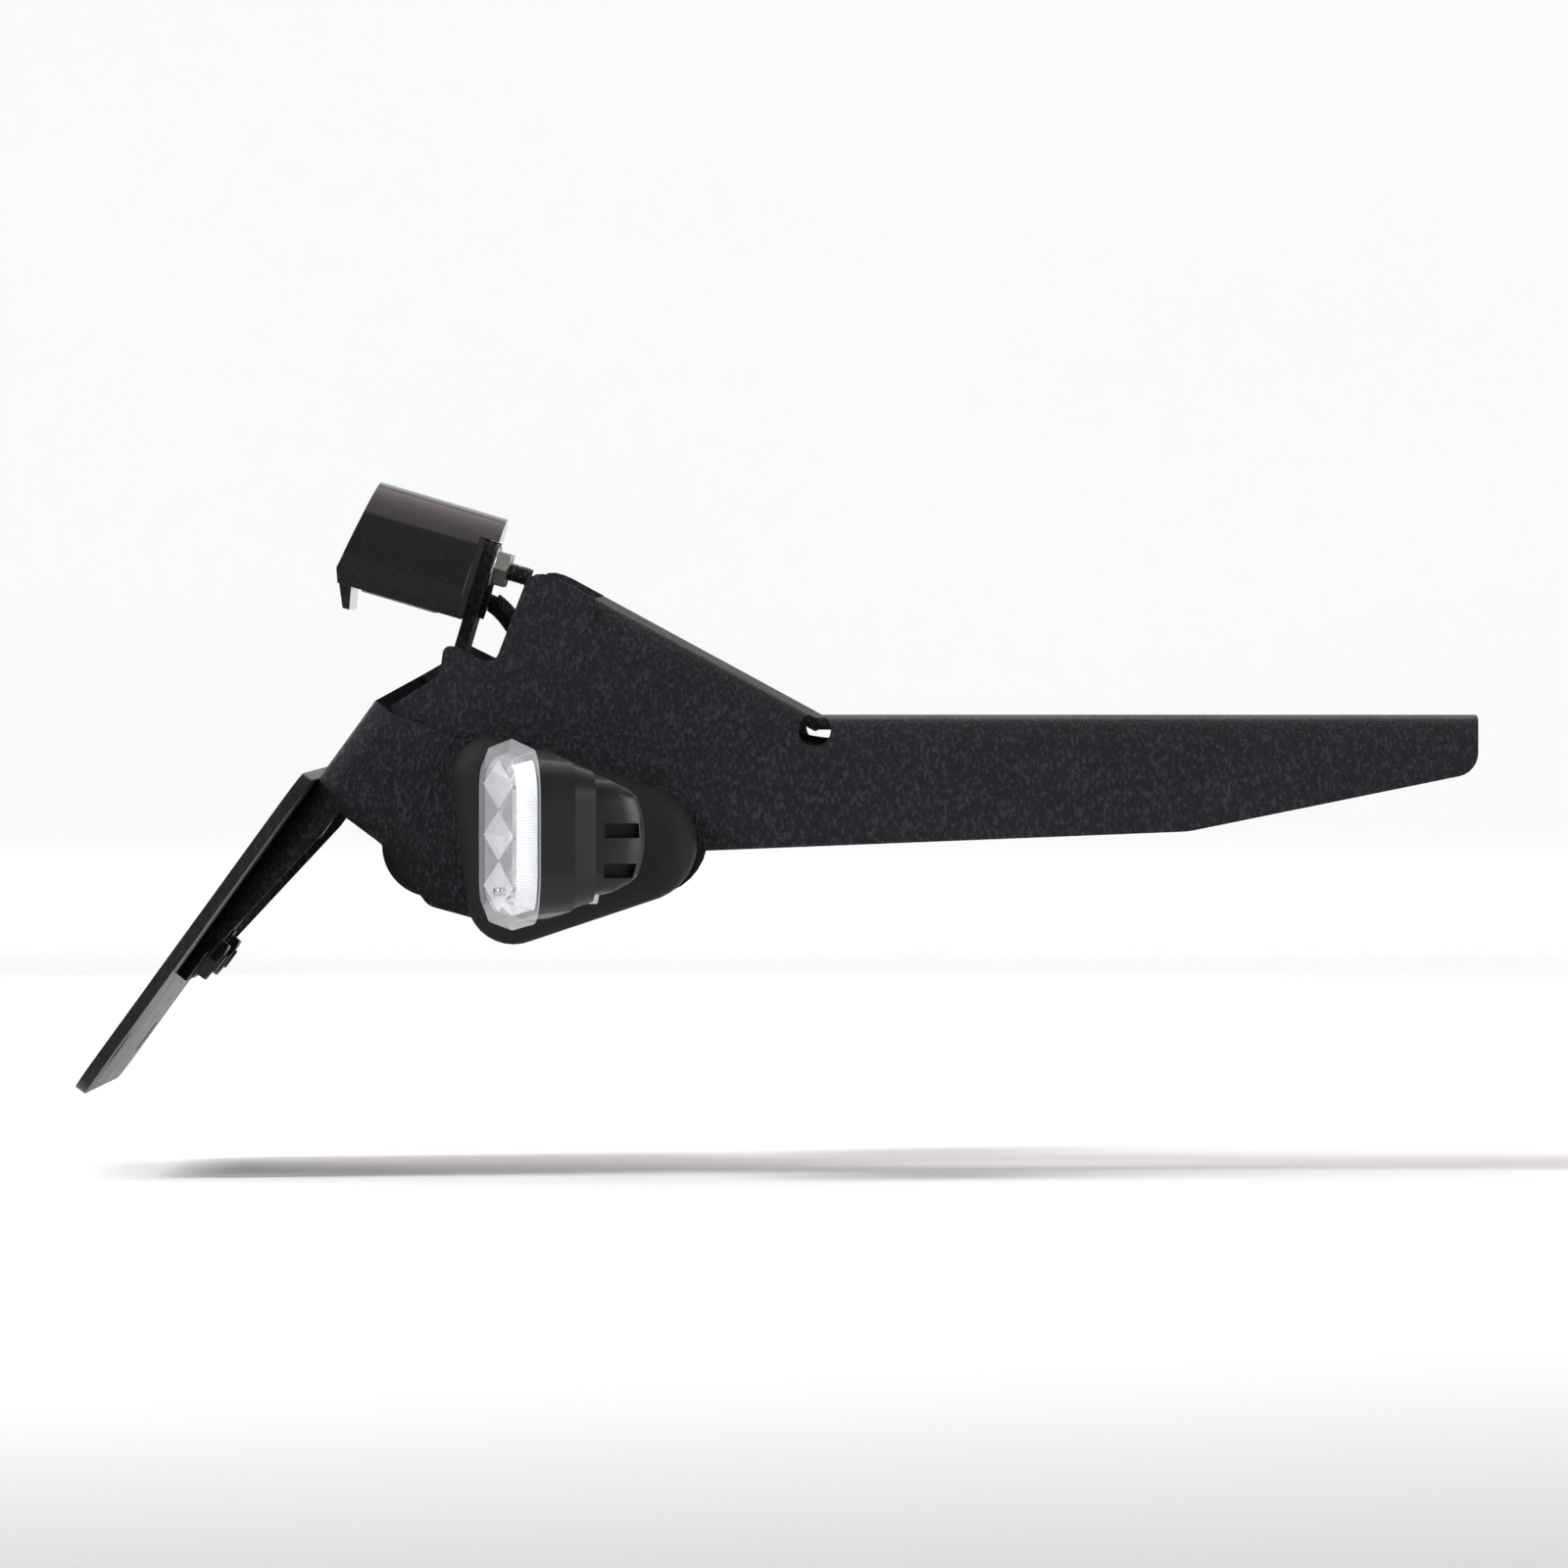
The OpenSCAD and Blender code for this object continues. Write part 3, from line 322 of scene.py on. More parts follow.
def settle(piece, slot, *nodes):
    """Fixes a finished piece to the part, and hides the nodes it stands for."""
    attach(piece, "root")
    if nodes:
        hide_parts(*nodes)
    return piece


def wrinkle_coat(name, colour, rough, grain=0.62 * mm, depth=0.15 * mm, pale=4.4):
    """Powder coat that has drawn up into fine wrinkles, with painted highlights that lighten the
    wrinkle crests.
    """
    coat = Paint(name, colour, Metallic=0.0, Specular_IOR_Level=0.13)
    folds = coat.noise(grain, stretch=(1.25, 1.25, 0.7), twist=0.25)
    fine = coat.noise(0.45 * grain)
    cloud = coat.noise(16 * mm)
    ridges = coat.steps(folds + 0.25 * (fine - 0.5), (0.34, 0), (0.5, 0.5), (0.68, 1))
    # Painted highlight: the crests of the wrinkles are coloured lighter, up to pale times the
    # coat's colour, as glints on them
    glint_crests = coat.steps(folds + 0.3 * (fine - 0.5), (0.5, 0), (0.68, 1))
    crest_highlight = tuple(pale * c for c in colour)
    coat.feed("Base Color", coat.blend(glint_crests * 0.75 + cloud * 0.15, colour, crest_highlight))
    coat.feed("Roughness", rough + 0.14 * cloud - 0.1 * ridges)
    coat.bump(ridges, depth)
    return coat.material


def swept_ear(p):
    """Leans the ear's back edge more upright, by sweeping its top corner back up the ramp."""
    high = min(1, max(0, (p.z - EAR_FOOT_Z) / EAR_H))
    far_back = min(1, max(0, (EAR_FROM_X - p.x) / EAR_BLEND))
    move = EAR_SWEPT * high * far_back
    return Vector((p.x - move, p.y, p.z + move * RAMP_SLOPE))


def plugged(node, plugs):
    """A copy of a node's mesh with plugs in its slits, each a box of eight corners."""
    whole = mesh_object("whole", [], [], powder_coat)
    whole.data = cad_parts[node].data.copy()
    closed(opened(whole.data), whole.data)
    fillings = []
    for corners in plugs:
        box = bmesh.new()
        bmesh.ops.convex_hull(box, input=[box.verts.new(c) for c in corners])
        bmesh.ops.recalc_face_normals(box, faces=box.faces)
        filling = mesh_object("filling", [], [], powder_coat)
        closed(box, filling.data)
        weld = whole.modifiers.new("weld", "BOOLEAN")
        weld.operation, weld.solver, weld.object = "UNION", "EXACT", filling
        fillings.append(filling)
    mesh = baked(whole).data.copy()
    for spare in [whole, *fillings]:
        bpy.data.objects.remove(spare)
    return mesh


def slit_plug(hand):
    """The corners of a plug for the slit between an ear and the ramp's fold, on one side."""
    return [(x, hand * y, z) for x in (EAR_FROM_X - SLIT_HALF, EAR_FROM_X + SLIT_HALF)
            for y in (ARM_HALF_W, ARM_HALF_W - SHEET)
            for z in (SLIT_FOOT_Z, (KNEE_X - x) * RAMP_SLOPE)]


powder_coat = wrinkle_coat("wrinkle_black", (0.0072, 0.0075, 0.0092), rough=0.5)
dressed("arm", powder_coat, "powder_coat", reshape=swept_ear,
        source=plugged("arm", [slit_plug(-1), slit_plug(1)]))


# The plate hanger. A second folded steel sheet: cheeks that the indicators' screws clamp on the
# arm's flanges, a leaning web and tongue behind them, and a neck with the lamp's tab. A tube is
# welded across the cheeks, and the whole has the arm's coat.
dressed("plate_hanger", powder_coat, "powder_coat")


# The cross sleeve. A moulded rubber tube with round-edged rings, pushed over the cross tube
# before that is welded in between the cheeks.
CROSS_TUBE_AT = (-118.5 * mm, -21.327 * mm)
CROSS_TUBE_R = 4.0 * mm
SLEEVE_R = 8.5 * mm
SLEEVE_L = 52 * mm
RING_PITCH = 4.0 * mm
RING_WIDE = 2.9 * mm
RING_DEEP = 1.3 * mm
RING_ROUND = 0.7 * mm
CORE_ROUND = 0.4 * mm
TUBE_FIT = 0.1 * mm
HOOP_SIDES = 64
THREAD_SIDES = 32
TURN_STEPS = 28
RUN_OUT = 0.7


class Pattern(Plan):
    """A Geometry Nodes tree with named sizes, which repeats a shape at the places it is given."""

    def __init__(self, name, **sizes):
        super().__init__(bpy.data.node_groups.new(name, "GeometryNodeTree"))
        sockets = self.tree.interface
        sockets.new_socket("places", in_out="INPUT", socket_type="NodeSocketGeometry")
        self.inputs = {"finish": sockets.new_socket(
            "finish", in_out="INPUT", socket_type="NodeSocketMaterial").identifier}
        for size, value in sizes.items():
            kind = "NodeSocketInt" if isinstance(value, int) else "NodeSocketFloat"
            socket = sockets.new_socket(size, in_out="INPUT", socket_type=kind)
            socket.default_value = value
            self.inputs[size] = socket.identifier
        sockets.new_socket("made", in_out="OUTPUT", socket_type="NodeSocketGeometry")
        self.entry = self.tree.nodes.new("NodeGroupInput")
        self.places = self.size("places")

    def size(self, name):
        return Wire(self, self.entry.outputs[name])

    def vector(self, x=0.0, y=0.0, z=0.0):
        return self.add("ShaderNodeCombineXYZ", {}, {0: x, 1: y, 2: z})

    def moved(self, shape, place):
        return self.add("GeometryNodeTransform", {}, {"Geometry": shape, "Translation": place})

    def repeated(self, shape):
        """The shape at every place that the tree is given."""
        return self.add("GeometryNodeInstanceOnPoints", {},
                        {"Points": self.places, "Instance": shape})

    def joined(self, *shapes):
        return self.add("GeometryNodeJoinGeometry", {}, {0: list(shapes)})

    def cut(self, shape, *tools):
        return self.add("GeometryNodeMeshBoolean", {"operation": "DIFFERENCE", "solver": "EXACT"},
                        {0: shape, 1: list(tools)})

    def common(self, *shapes):
        return self.add("GeometryNodeMeshBoolean", {"operation": "INTERSECT", "solver": "EXACT"},
                        {1: list(shapes)})

    def taper(self, sides, low, high, height, z=0.0):
        """A round or many-sided bar that stands on z, with its radius at each end."""
        bar = self.add("GeometryNodeMeshCone", {}, {
            "Vertices": sides, "Radius Bottom": low, "Radius Top": high, "Depth": height})
        return self.moved(bar, self.vector(z=z))

    def ring(self, radius, wide, high, round_r, z=0.0):
        """A ring about Z whose section is wide along the radius and has rounded corners."""
        section = self.add("GeometryNodeCurvePrimitiveQuadrilateral", {},
                           {"Width": wide, "Height": high})
        section = self.add("GeometryNodeFilletCurve", {"mode": "POLY"},
                           {"Curve": section, "Count": 3, "Radius": round_r})
        circle = self.add("GeometryNodeCurvePrimitiveCircle", {},
                          {"Resolution": HOOP_SIDES, "Radius": radius})
        hoop = self.add("GeometryNodeCurveToMesh", {},
                        {"Curve": circle, "Profile Curve": section})
        return self.moved(hoop, self.vector(z=z + 0.5 * high))

    def thread(self, radius, length, pitch, depth, z=0.0):
        """A rolled thread: a core with a ridge that winds round it."""
        root, wound = radius - depth, length - 2 * RUN_OUT * pitch
        core = self.taper(THREAD_SIDES, root, root, length, z)
        helix = self.add("GeometryNodeCurveSpiral", {}, {
            "Resolution": TURN_STEPS, "Rotations": wound / pitch, "Start Radius": root,
            "End Radius": root, "Height": wound})
        crest = self.add("GeometryNodeCurvePrimitiveCircle", {},
                         {"Resolution": 4, "Radius": depth})
        ridge = self.add("GeometryNodeCurveToMesh", {}, {
            "Curve": helix, "Profile Curve": crest, "Fill Caps": True})
        return self.joined(core, self.moved(ridge, self.vector(z=z + RUN_OUT * pitch)))

    def close(self, shape, repeat=True):
        """Ends the tree: the shape at every place, made real, with its material."""
        if repeat:
            shape = self.repeated(shape)
        shape = self.add("GeometryNodeRealizeInstances", {}, {"Geometry": shape})
        shape = self.add("GeometryNodeSetMaterial", {},
                         {"Geometry": shape, "Material": self.size("finish")})
        self.add("NodeGroupOutput", {}, {0: shape})
        return self

    def make(self, name, places, stand, material, slot, *nodes, smooth=35, links=(), **sizes):
        """Runs the tree on places in millimetres in the frame `stand`, and settles the piece."""
        mesh = bpy.data.meshes.new(name)
        mesh.from_pydata([tuple(mm * c for c in p) for p in places], links, [])
        piece = bpy.data.objects.new(name, mesh)
        scene.collection.objects.link(piece)
        pattern = piece.modifiers.new("pattern", "NODES")
        pattern.node_group = self.tree
        pattern[self.inputs["finish"]] = material
        for size, value in sizes.items():
            pattern[self.inputs[size]] = value
        baked(piece)
        piece.data.transform(stand)
        form = opened(piece.data, 1e-7)
        bmesh.ops.recalc_face_normals(form, faces=form.faces)
        closed(form, piece.data)
        piece.data.shade_smooth()
        piece.data.set_sharp_from_angle(angle=radians(smooth))
        return settle(piece, slot, *nodes)


def rubber(name, colour, rough=0.6, bloom=0.25):
    """Moulded rubber, with a faint dusty bloom and a fine matt grain."""
    skin = Paint(name, colour, Specular_IOR_Level=0.2)
    cloud = skin.noise(5 * mm, detail=3, rough=0.6)
    grain = skin.noise(0.35 * mm)
    pale = tuple(c + 0.02 * bloom for c in colour)
    skin.feed("Base Color", skin.blend(cloud, colour, pale))
    skin.feed("Roughness", rough + 0.14 * cloud)
    skin.bump(grain, 0.02 * mm, 0.5)
    return skin.material


black_rubber = rubber("black_rubber", (0.0065, 0.0065, 0.007))
sleeve = Pattern("ringed_sleeve", length=SLEEVE_L, bore=CROSS_TUBE_R, outside=SLEEVE_R,
                 ring_wide=RING_WIDE, ring_deep=RING_DEEP)
core_r = sleeve.size("outside") - sleeve.size("ring_deep")
bore_r = sleeve.size("bore") + TUBE_FIT
core = sleeve.ring((core_r + bore_r) / 2, core_r - bore_r, sleeve.size("length"), CORE_ROUND)
rib = sleeve.ring(core_r, 2 * sleeve.size("ring_deep"), sleeve.size("ring_wide"), RING_ROUND,
                  -0.5 * sleeve.size("ring_wide"))
sleeve.close(sleeve.joined(core, sleeve.repeated(rib)), repeat=False)
ring_count = int(SLEEVE_L / RING_PITCH)
across = (Matrix.Translation((CROSS_TUBE_AT[0], SLEEVE_L / 2, CROSS_TUBE_AT[1]))
          @ Matrix.Rotation(radians(90), 4, "X"))
sleeve.make("cross_sleeve_rings",
            [(0, 0, (k + 0.5) * RING_PITCH / mm) for k in range(ring_count)],
            across, black_rubber, "black_rubber", "cross_sleeve", smooth=50)


# The plate carrier. A flat sheet with rounded corners and four plate holes, countersunk for the
# screws that fix it to the tongue, in a slightly glossier coat than the folded parts.
carrier_coat = wrinkle_coat("carrier_black", (0.0105, 0.0105, 0.012), rough=0.33,
                            grain=0.8 * mm, depth=0.08 * mm, pale=2)
dressed("plate_carrier", carrier_coat, "carrier_coat")


# The carrier's screws, washers and nuts. Countersunk M4 machine screws with a hexagon socket,
# a plain washer and a nut on the tongue's front face, all in blackened zinc.
WEB_LEAN = radians(36)
FOLD = (-127.9 * mm, 2.873 * mm)
CARRIER_SCREW_R = 2.0 * mm
CARRIER_WASHER_T = 0.5 * mm
CARRIER_NUT_H = 1.8 * mm
CARRIER_SCREWS = [(x, -s, 0) for x in (-20, 20) for s in (24, 51)]
HEAD_SIDES = 40
EDGE_SHARE = 0.12
SOCKET_FLOOR = 0.45
SOCKET_MOUTH = 1.35
THREAD_SHARE = 0.12
NUT_FACE = 0.83
NUT_CHAMFER = 1.73


def leaning(x, z, lean):
    """The frame of a leaning sheet: X to the right, Y up along it, Z out of its rear face."""
    return Matrix(((0, sin(lean), -cos(lean), x), (-1, 0, 0, 0),
                   (0, cos(lean), sin(lean), z), (0, 0, 0, 1)))


def lifted(stand, z):
    return stand @ Matrix.Translation((0, 0, z))


def plated(name, colour, rough, metal=1.0):
    """Zinc plate: bright metal with faint brushed streaks and cloudy dulling."""
    plate = Paint(name, colour, Metallic=metal)
    cloud = plate.noise(1.8 * mm, detail=3, rough=0.55)
    streaks = plate.noise(0.5 * mm, stretch=(1, 1, 6))
    plate.feed("Base Color", plate.blend(cloud, colour, tuple(0.7 * c for c in colour)))
    plate.feed("Roughness", rough + 0.16 * cloud)
    plate.bump(streaks, 0.01 * mm, 0.4)
    return plate.material


black_zinc = plated("black_zinc", (0.04, 0.04, 0.045), rough=0.3)

# Every screw is one tree: a head that may taper, a hexagon socket in it, and a rolled thread
screw = Pattern("socket_screw", radius=CARRIER_SCREW_R, length=4.7 * mm,
                head_low=CARRIER_SCREW_R, head_high=4.0 * mm, head_height=2.0 * mm,
                socket=1.25 * mm, pitch=0.7 * mm)
head_low, head_high = screw.size("head_low"), screw.size("head_high")
head_height, socket = screw.size("head_height"), screw.size("socket")
soft_edge = EDGE_SHARE * head_height
rim_r = head_high - EDGE_SHARE * (head_high - head_low)
head = screw.taper(HEAD_SIDES, head_low, rim_r, head_height - soft_edge)
rim = screw.taper(HEAD_SIDES, rim_r, rim_r - 0.8 * soft_edge, soft_edge,
                  head_height - soft_edge)
cap = screw.add("GeometryNodeMeshBoolean", {"operation": "UNION", "solver": "EXACT"},
                {1: [head, rim]})
cap = screw.cut(cap, screw.taper(6, socket, socket, head_height, SOCKET_FLOOR * head_height),
                screw.taper(24, 0, SOCKET_MOUTH * socket, 0.3 * socket,
                            head_height - 0.28 * socket))
shank = screw.thread(screw.size("radius"), screw.size("length") + 0.4 * head_height,
                     screw.size("pitch"), THREAD_SHARE * screw.size("radius"),
                     0 - screw.size("length"))
screw.close(screw.joined(cap, shank))

# Every washer is a flat ring with its edges tumbled
washer = Pattern("flat_washer", bore=2.25 * mm, outside=4.4 * mm, thick=CARRIER_WASHER_T)
washer.close(washer.ring(0.5 * (washer.size("bore") + washer.size("outside")),
                         washer.size("outside") - washer.size("bore"),
                         washer.size("thick"), 0.25 * washer.size("thick")))

# Every nut is a hexagon bar with its outer corners turned off and a countersunk bore
nut = Pattern("hexagon_nut", corner=4.04 * mm, height=CARRIER_NUT_H, bore=CARRIER_SCREW_R)
corner, height, bore = nut.size("corner"), nut.size("height"), nut.size("bore")
turned = nut.taper(48, NUT_FACE * corner + NUT_CHAMFER * height, NUT_FACE * corner, height)
body = nut.common(nut.taper(6, corner, corner, height), turned)
nut.close(nut.cut(body, nut.taper(32, bore, bore, 3 * height, 0 - height),
                  nut.taper(32, 0.9 * bore, 1.22 * bore, 0.32 * bore, height - 0.3 * bore)))


def facing_forward(stand, places):
    """A leaning sheet's frame turned over, so that Z leaves its front face, and the places."""
    return stand @ Matrix.Rotation(pi, 4, "X"), [(x, -y, z) for x, y, z in places]


tongue = leaning(*FOLD, WEB_LEAN)
under_washers = lifted(tongue, -SHEET - CARRIER_WASHER_T)
screw.make("carrier_screws_cut", CARRIER_SCREWS, tongue, black_zinc, "black_zinc",
           "carrier_screws")
washer.make("carrier_washers_cut", CARRIER_SCREWS, under_washers, black_zinc, "black_zinc",
            "carrier_washers")
nut_stand, nut_places = facing_forward(under_washers, CARRIER_SCREWS)
nut.make("carrier_nuts_cut", nut_places, nut_stand, black_zinc, "black_zinc", "carrier_nuts")


# The plate lamp's housing. A half-round moulding in glossy black, closed at the back by a
# downturned hook, with a lip that laps over the end of the tab.
def gloss_plastic(name, colour, rough, dust=0.05):
    """Glossy moulded plastic with a very faint flow waviness and fine dust."""
    skin = Paint(name, colour, Specular_IOR_Level=0.42)
    flow = skin.noise(9 * mm, detail=1, rough=0.4)
    specks = skin.steps(skin.noise(0.4 * mm, rough=0.6), (0.62, 0), (0.72, 1))
    skin.feed("Base Color", skin.blend(specks * dust, colour, (0.3, 0.3, 0.3)))
    skin.feed("Roughness", rough + 0.05 * flow + 0.2 * dust * specks)
    skin.bump(flow, 0.006 * mm, 0.1)
    return skin.material


gloss_black = gloss_plastic("gloss_black", (0.006, 0.0055, 0.0065), rough=0.08)
dressed("lamp_housing", gloss_black, "gloss_black", edge=0.35 * mm, smooth=40)


# The lamp's inside. A rubber gasket seals the housing on the tab, and a clear moulded window
# with prism ribs closes its flat side, below a green circuit board that carries three LEDs.
TAB_LEAN = radians(16.5)
TAB_END = (-110.213 * mm, 29.379 * mm)
WINDOW_HALF = 15.4 * mm
WINDOW_Y = -13.7 * mm
WINDOW_FROM = 3.6 * mm
WINDOW_TO = 18.5 * mm
WINDOW_T = 1.6 * mm
WINDOW_GAP = 0.2 * mm
RIB_R = 0.75 * mm
RIB_MARGIN = 1 * mm
RIBS = [(-13.2 + 2.2 * k, 0.1, 0) for k in range(13)]
tab = leaning(*TAB_END, TAB_LEAN)
dressed("lamp_gasket", black_rubber, "black_rubber", edge=0.15 * mm)


def clear_plastic(name, colour, clear, haze=0.06, rim=0.8):
    """Clear moulded plastic: see-through face on, and bright where it is seen edge on."""
    skin = Paint(name, colour, IOR=1.49)
    cloud = skin.noise(3 * mm)
    sheen = skin.add("ShaderNodeFresnel", {}, {"IOR": 1.49})
    skin.feed("Base Color", skin.blend(cloud, colour, tuple(0.9 * c for c in colour)))
    skin.feed("Roughness", 0.03 + haze * cloud)
    skin.feed("Alpha", clear + rim * sheen)
    skin.bump(cloud, 0.03 * mm, 0.2)
    return skin.material


lamp_clear = clear_plastic("lamp_clear", (0.55, 0.57, 0.58), clear=0.2)
window = Pattern("ribbed_window", half=WINDOW_HALF, thick=WINDOW_T, start=WINDOW_FROM,
                 end=WINDOW_TO, rib=RIB_R)
depth = window.size("end") - window.size("start")
pane = window.add("GeometryNodeMeshCube", {}, {"Size": window.vector(
    2 * window.size("half"), window.size("thick"), depth)})
pane = window.moved(pane, window.vector(0, 0.5 * window.size("thick"),
                                        window.size("start") + 0.5 * depth))
prism = window.taper(3, window.size("rib"), window.size("rib"), depth - 2 * RIB_MARGIN,
                     window.size("start") + RIB_MARGIN)
window.close(window.joined(pane, window.repeated(prism)), repeat=False)
window.make("lamp_window_ribbed", RIBS,
            tab @ Matrix.Translation((0, WINDOW_Y + WINDOW_GAP, 0)), lamp_clear, "lamp_clear",
            "lamp_lens")
board = Paint("board_green", (0.01, 0.06, 0.025), Roughness=0.35)
tracks = board.steps(board.noise(1.2 * mm, detail=0), (0.48, 0), (0.5, 1))
board.feed("Base Color", board.blend(tracks, (0.008, 0.05, 0.02), (0.02, 0.1, 0.04)))
board.bump(tracks, 0.03 * mm, 0.5)
dressed("lamp_board", board.material, "board_green", edge=0)
led = Paint("led_yellow", (0.8, 0.62, 0.12), Roughness=0.4)
glow = led.noise(1.0 * mm)
led.feed("Base Color", led.blend(glow, (0.85, 0.7, 0.2), (0.7, 0.5, 0.08)))
dressed("lamp_leds", led.material, "led_yellow", edge=0.1 * mm)


# The lamp's screws, washers and nuts. Two black M3 screws with their heads inside the lamp pass
# its front wall and the tab, each with a bright zinc washer and nut on the tab's front face.
LAMP_SCREW_R = 1.5 * mm
LAMP_WASHER_T = 0.5 * mm
LAMP_NUT_H = 2.4 * mm
LAMP_ROOM = 3.5 * mm
STUD_END = 3.6 * mm
STUD_REACH = SHEET + LAMP_WASHER_T + LAMP_NUT_H + STUD_END
LAMP_SCREWS = [(-6, -4, 0), (6, -4, 0)]
bright_zinc = plated("bright_zinc", (0.66, 0.63, 0.59), rough=0.2)
screw.make("lamp_studs", LAMP_SCREWS, lifted(tab, LAMP_ROOM), black_zinc, "black_zinc",
           "lamp_screws", radius=LAMP_SCREW_R, length=LAMP_ROOM + STUD_REACH,
           head_low=2.7 * mm, head_high=2.7 * mm, head_height=1.7 * mm, socket=1.1 * mm,
           pitch=0.5 * mm)
under_washers = lifted(tab, -SHEET - LAMP_WASHER_T)
washer.make("lamp_washers_cut", LAMP_SCREWS, under_washers, bright_zinc, "bright_zinc",
            "lamp_washers", bore=1.75 * mm, outside=3.45 * mm)
nut_stand, nut_places = facing_forward(under_washers, LAMP_SCREWS)
nut.make("lamp_nuts_cut", nut_places, nut_stand, bright_zinc, "bright_zinc", "lamp_nuts",
         corner=3.18 * mm, height=LAMP_NUT_H, bore=LAMP_SCREW_R)


# The lamp's lead. A round two-core lead runs from the lamp through a grommet in the tab, down
# into the arm and along the deck, under a braided sleeve, in three clips, to a small connector.
LEAD_R = 1.2 * mm
BRAID_R = 1.52 * mm
LEAD_ROUTE = [  # x and z in millimetres
    (-117.705, 21.690), (-115.308, 20.980), (-112.911, 20.270), (-109.311, 18.970),
    (-107.711, 17.570), (-105.911, 15.270), (-103.811, 11.670), (-101, 8.2), (-97, 5.6),
    (-92, 3.9), (-84, 3), (-76, 2.2), (-69, 0.2), (-62, -2.8), (-55, -4.6), (-48, -4.8),
    (-30, -4.8), (-10, -4.8), (10, -4.8), (36, -4.8)]
SLEEVE_FROM, SLEEVE_TO = 3, 11
LEAD_SAMPLES = 160


def chain(points):
    return [(k, k + 1) for k in range(len(points) - 1)]


def smooth_line(plan):
    """The line through a tree's places, curved smoothly and divided into samples."""
    line = plan.add("GeometryNodeMeshToCurve", {}, {"Mesh": plan.places})
    line = plan.add("GeometryNodeCurveSplineType", {"spline_type": "CATMULL_ROM"},
                    {"Curve": line})
    return plan.add("GeometryNodeResampleCurve", {},
                    {"Curve": line, "Count": plan.size("samples")})


# A bead is a round bar that follows every line it is given
bead = Pattern("round_bead", radius=LEAD_R, samples=2, sides=24)
line = smooth_line(bead)
section = bead.add("GeometryNodeCurvePrimitiveCircle", {}, {
    "Resolution": bead.size("sides"), "Radius": bead.size("radius")})
bead.close(bead.add("GeometryNodeCurveToMesh", {}, {
    "Curve": line, "Profile Curve": section, "Fill Caps": True}), repeat=False)

# The braid is two sets of strands that wind opposite ways round the lead and weave together
braid = Pattern("woven_braid", radius=BRAID_R, strand=0.21 * mm, weave=0.07 * mm, turns=6.0,
                count=10, samples=420)
line = smooth_line(braid)
core_section = braid.add("GeometryNodeCurvePrimitiveCircle", {}, {
    "Resolution": 20, "Radius": braid.size("radius") - 0.6 * braid.size("strand")})
strand_section = braid.add("GeometryNodeCurvePrimitiveCircle", {}, {
    "Resolution": 5, "Radius": braid.size("strand")})
strands = [braid.add("GeometryNodeCurveToMesh", {}, {
    "Curve": line, "Profile Curve": core_section, "Fill Caps": True})]
for hand in (1, -1):
    copies = braid.add("GeometryNodeDuplicateElements", {"domain": "SPLINE"},
                       {"Geometry": line, "Amount": braid.size("count")})
    number = Wire(braid, copies.out.node.outputs["Duplicate Index"])
    along = braid.add("GeometryNodeSplineParameter", {}, {}, "Factor")
    angle = 2 * pi * (hand * braid.size("turns") * along + number / braid.size("count"))
    wave = (2 * pi * along * braid.size("turns") * braid.size("count")).maths("COSINE")
    reach = braid.size("radius") + hand * braid.size("weave") * wave
    outward = braid.add("GeometryNodeInputNormal", {}, {})
    sideways = braid.add("ShaderNodeVectorMath", {"operation": "CROSS_PRODUCT"}, {
        0: braid.add("GeometryNodeInputTangent", {}, {}), 1: outward})
    offset = braid.add("ShaderNodeVectorMath", {"operation": "ADD"}, {
        0: braid.add("ShaderNodeVectorMath", {"operation": "SCALE"}, {
            0: outward, "Scale": reach * angle.maths("COSINE")}),
        1: braid.add("ShaderNodeVectorMath", {"operation": "SCALE"}, {
            0: sideways, "Scale": reach * angle.maths("SINE")})})
    wound = braid.add("GeometryNodeSetPosition", {}, {"Geometry": copies, "Offset": offset})
    strands.append(braid.add("GeometryNodeCurveToMesh", {}, {
        "Curve": wound, "Profile Curve": strand_section, "Fill Caps": True}))
braid.close(braid.joined(*strands), repeat=False)

lead_black = rubber("lead_black", (0.006, 0.006, 0.0065), rough=0.4, bloom=0.2)
clip_black = rubber("clip_black", (0.008, 0.008, 0.009), rough=0.45, bloom=0.3)
in_place = Matrix.Identity(4)
lead_points = [(x, 0, z) for x, z in LEAD_ROUTE]
sleeve_points = lead_points[SLEEVE_FROM:SLEEVE_TO + 1]
dressed("lead_grommet", black_rubber, "black_rubber", edge=0.12 * mm)
bead.make("lamp_lead_round", lead_points, in_place, lead_black, "lead_black", "lamp_lead",
          smooth=60, links=chain(lead_points), radius=LEAD_R, samples=LEAD_SAMPLES)
braid.make("lead_sleeve_braided", sleeve_points, in_place, lead_black, "lead_black",
           "lead_sleeve", smooth=60, links=chain(sleeve_points))
dressed("lead_clips", clip_black, "clip_black", edge=0.15 * mm)
dressed("lead_connector", clip_black, "clip_black", edge=0.2 * mm)


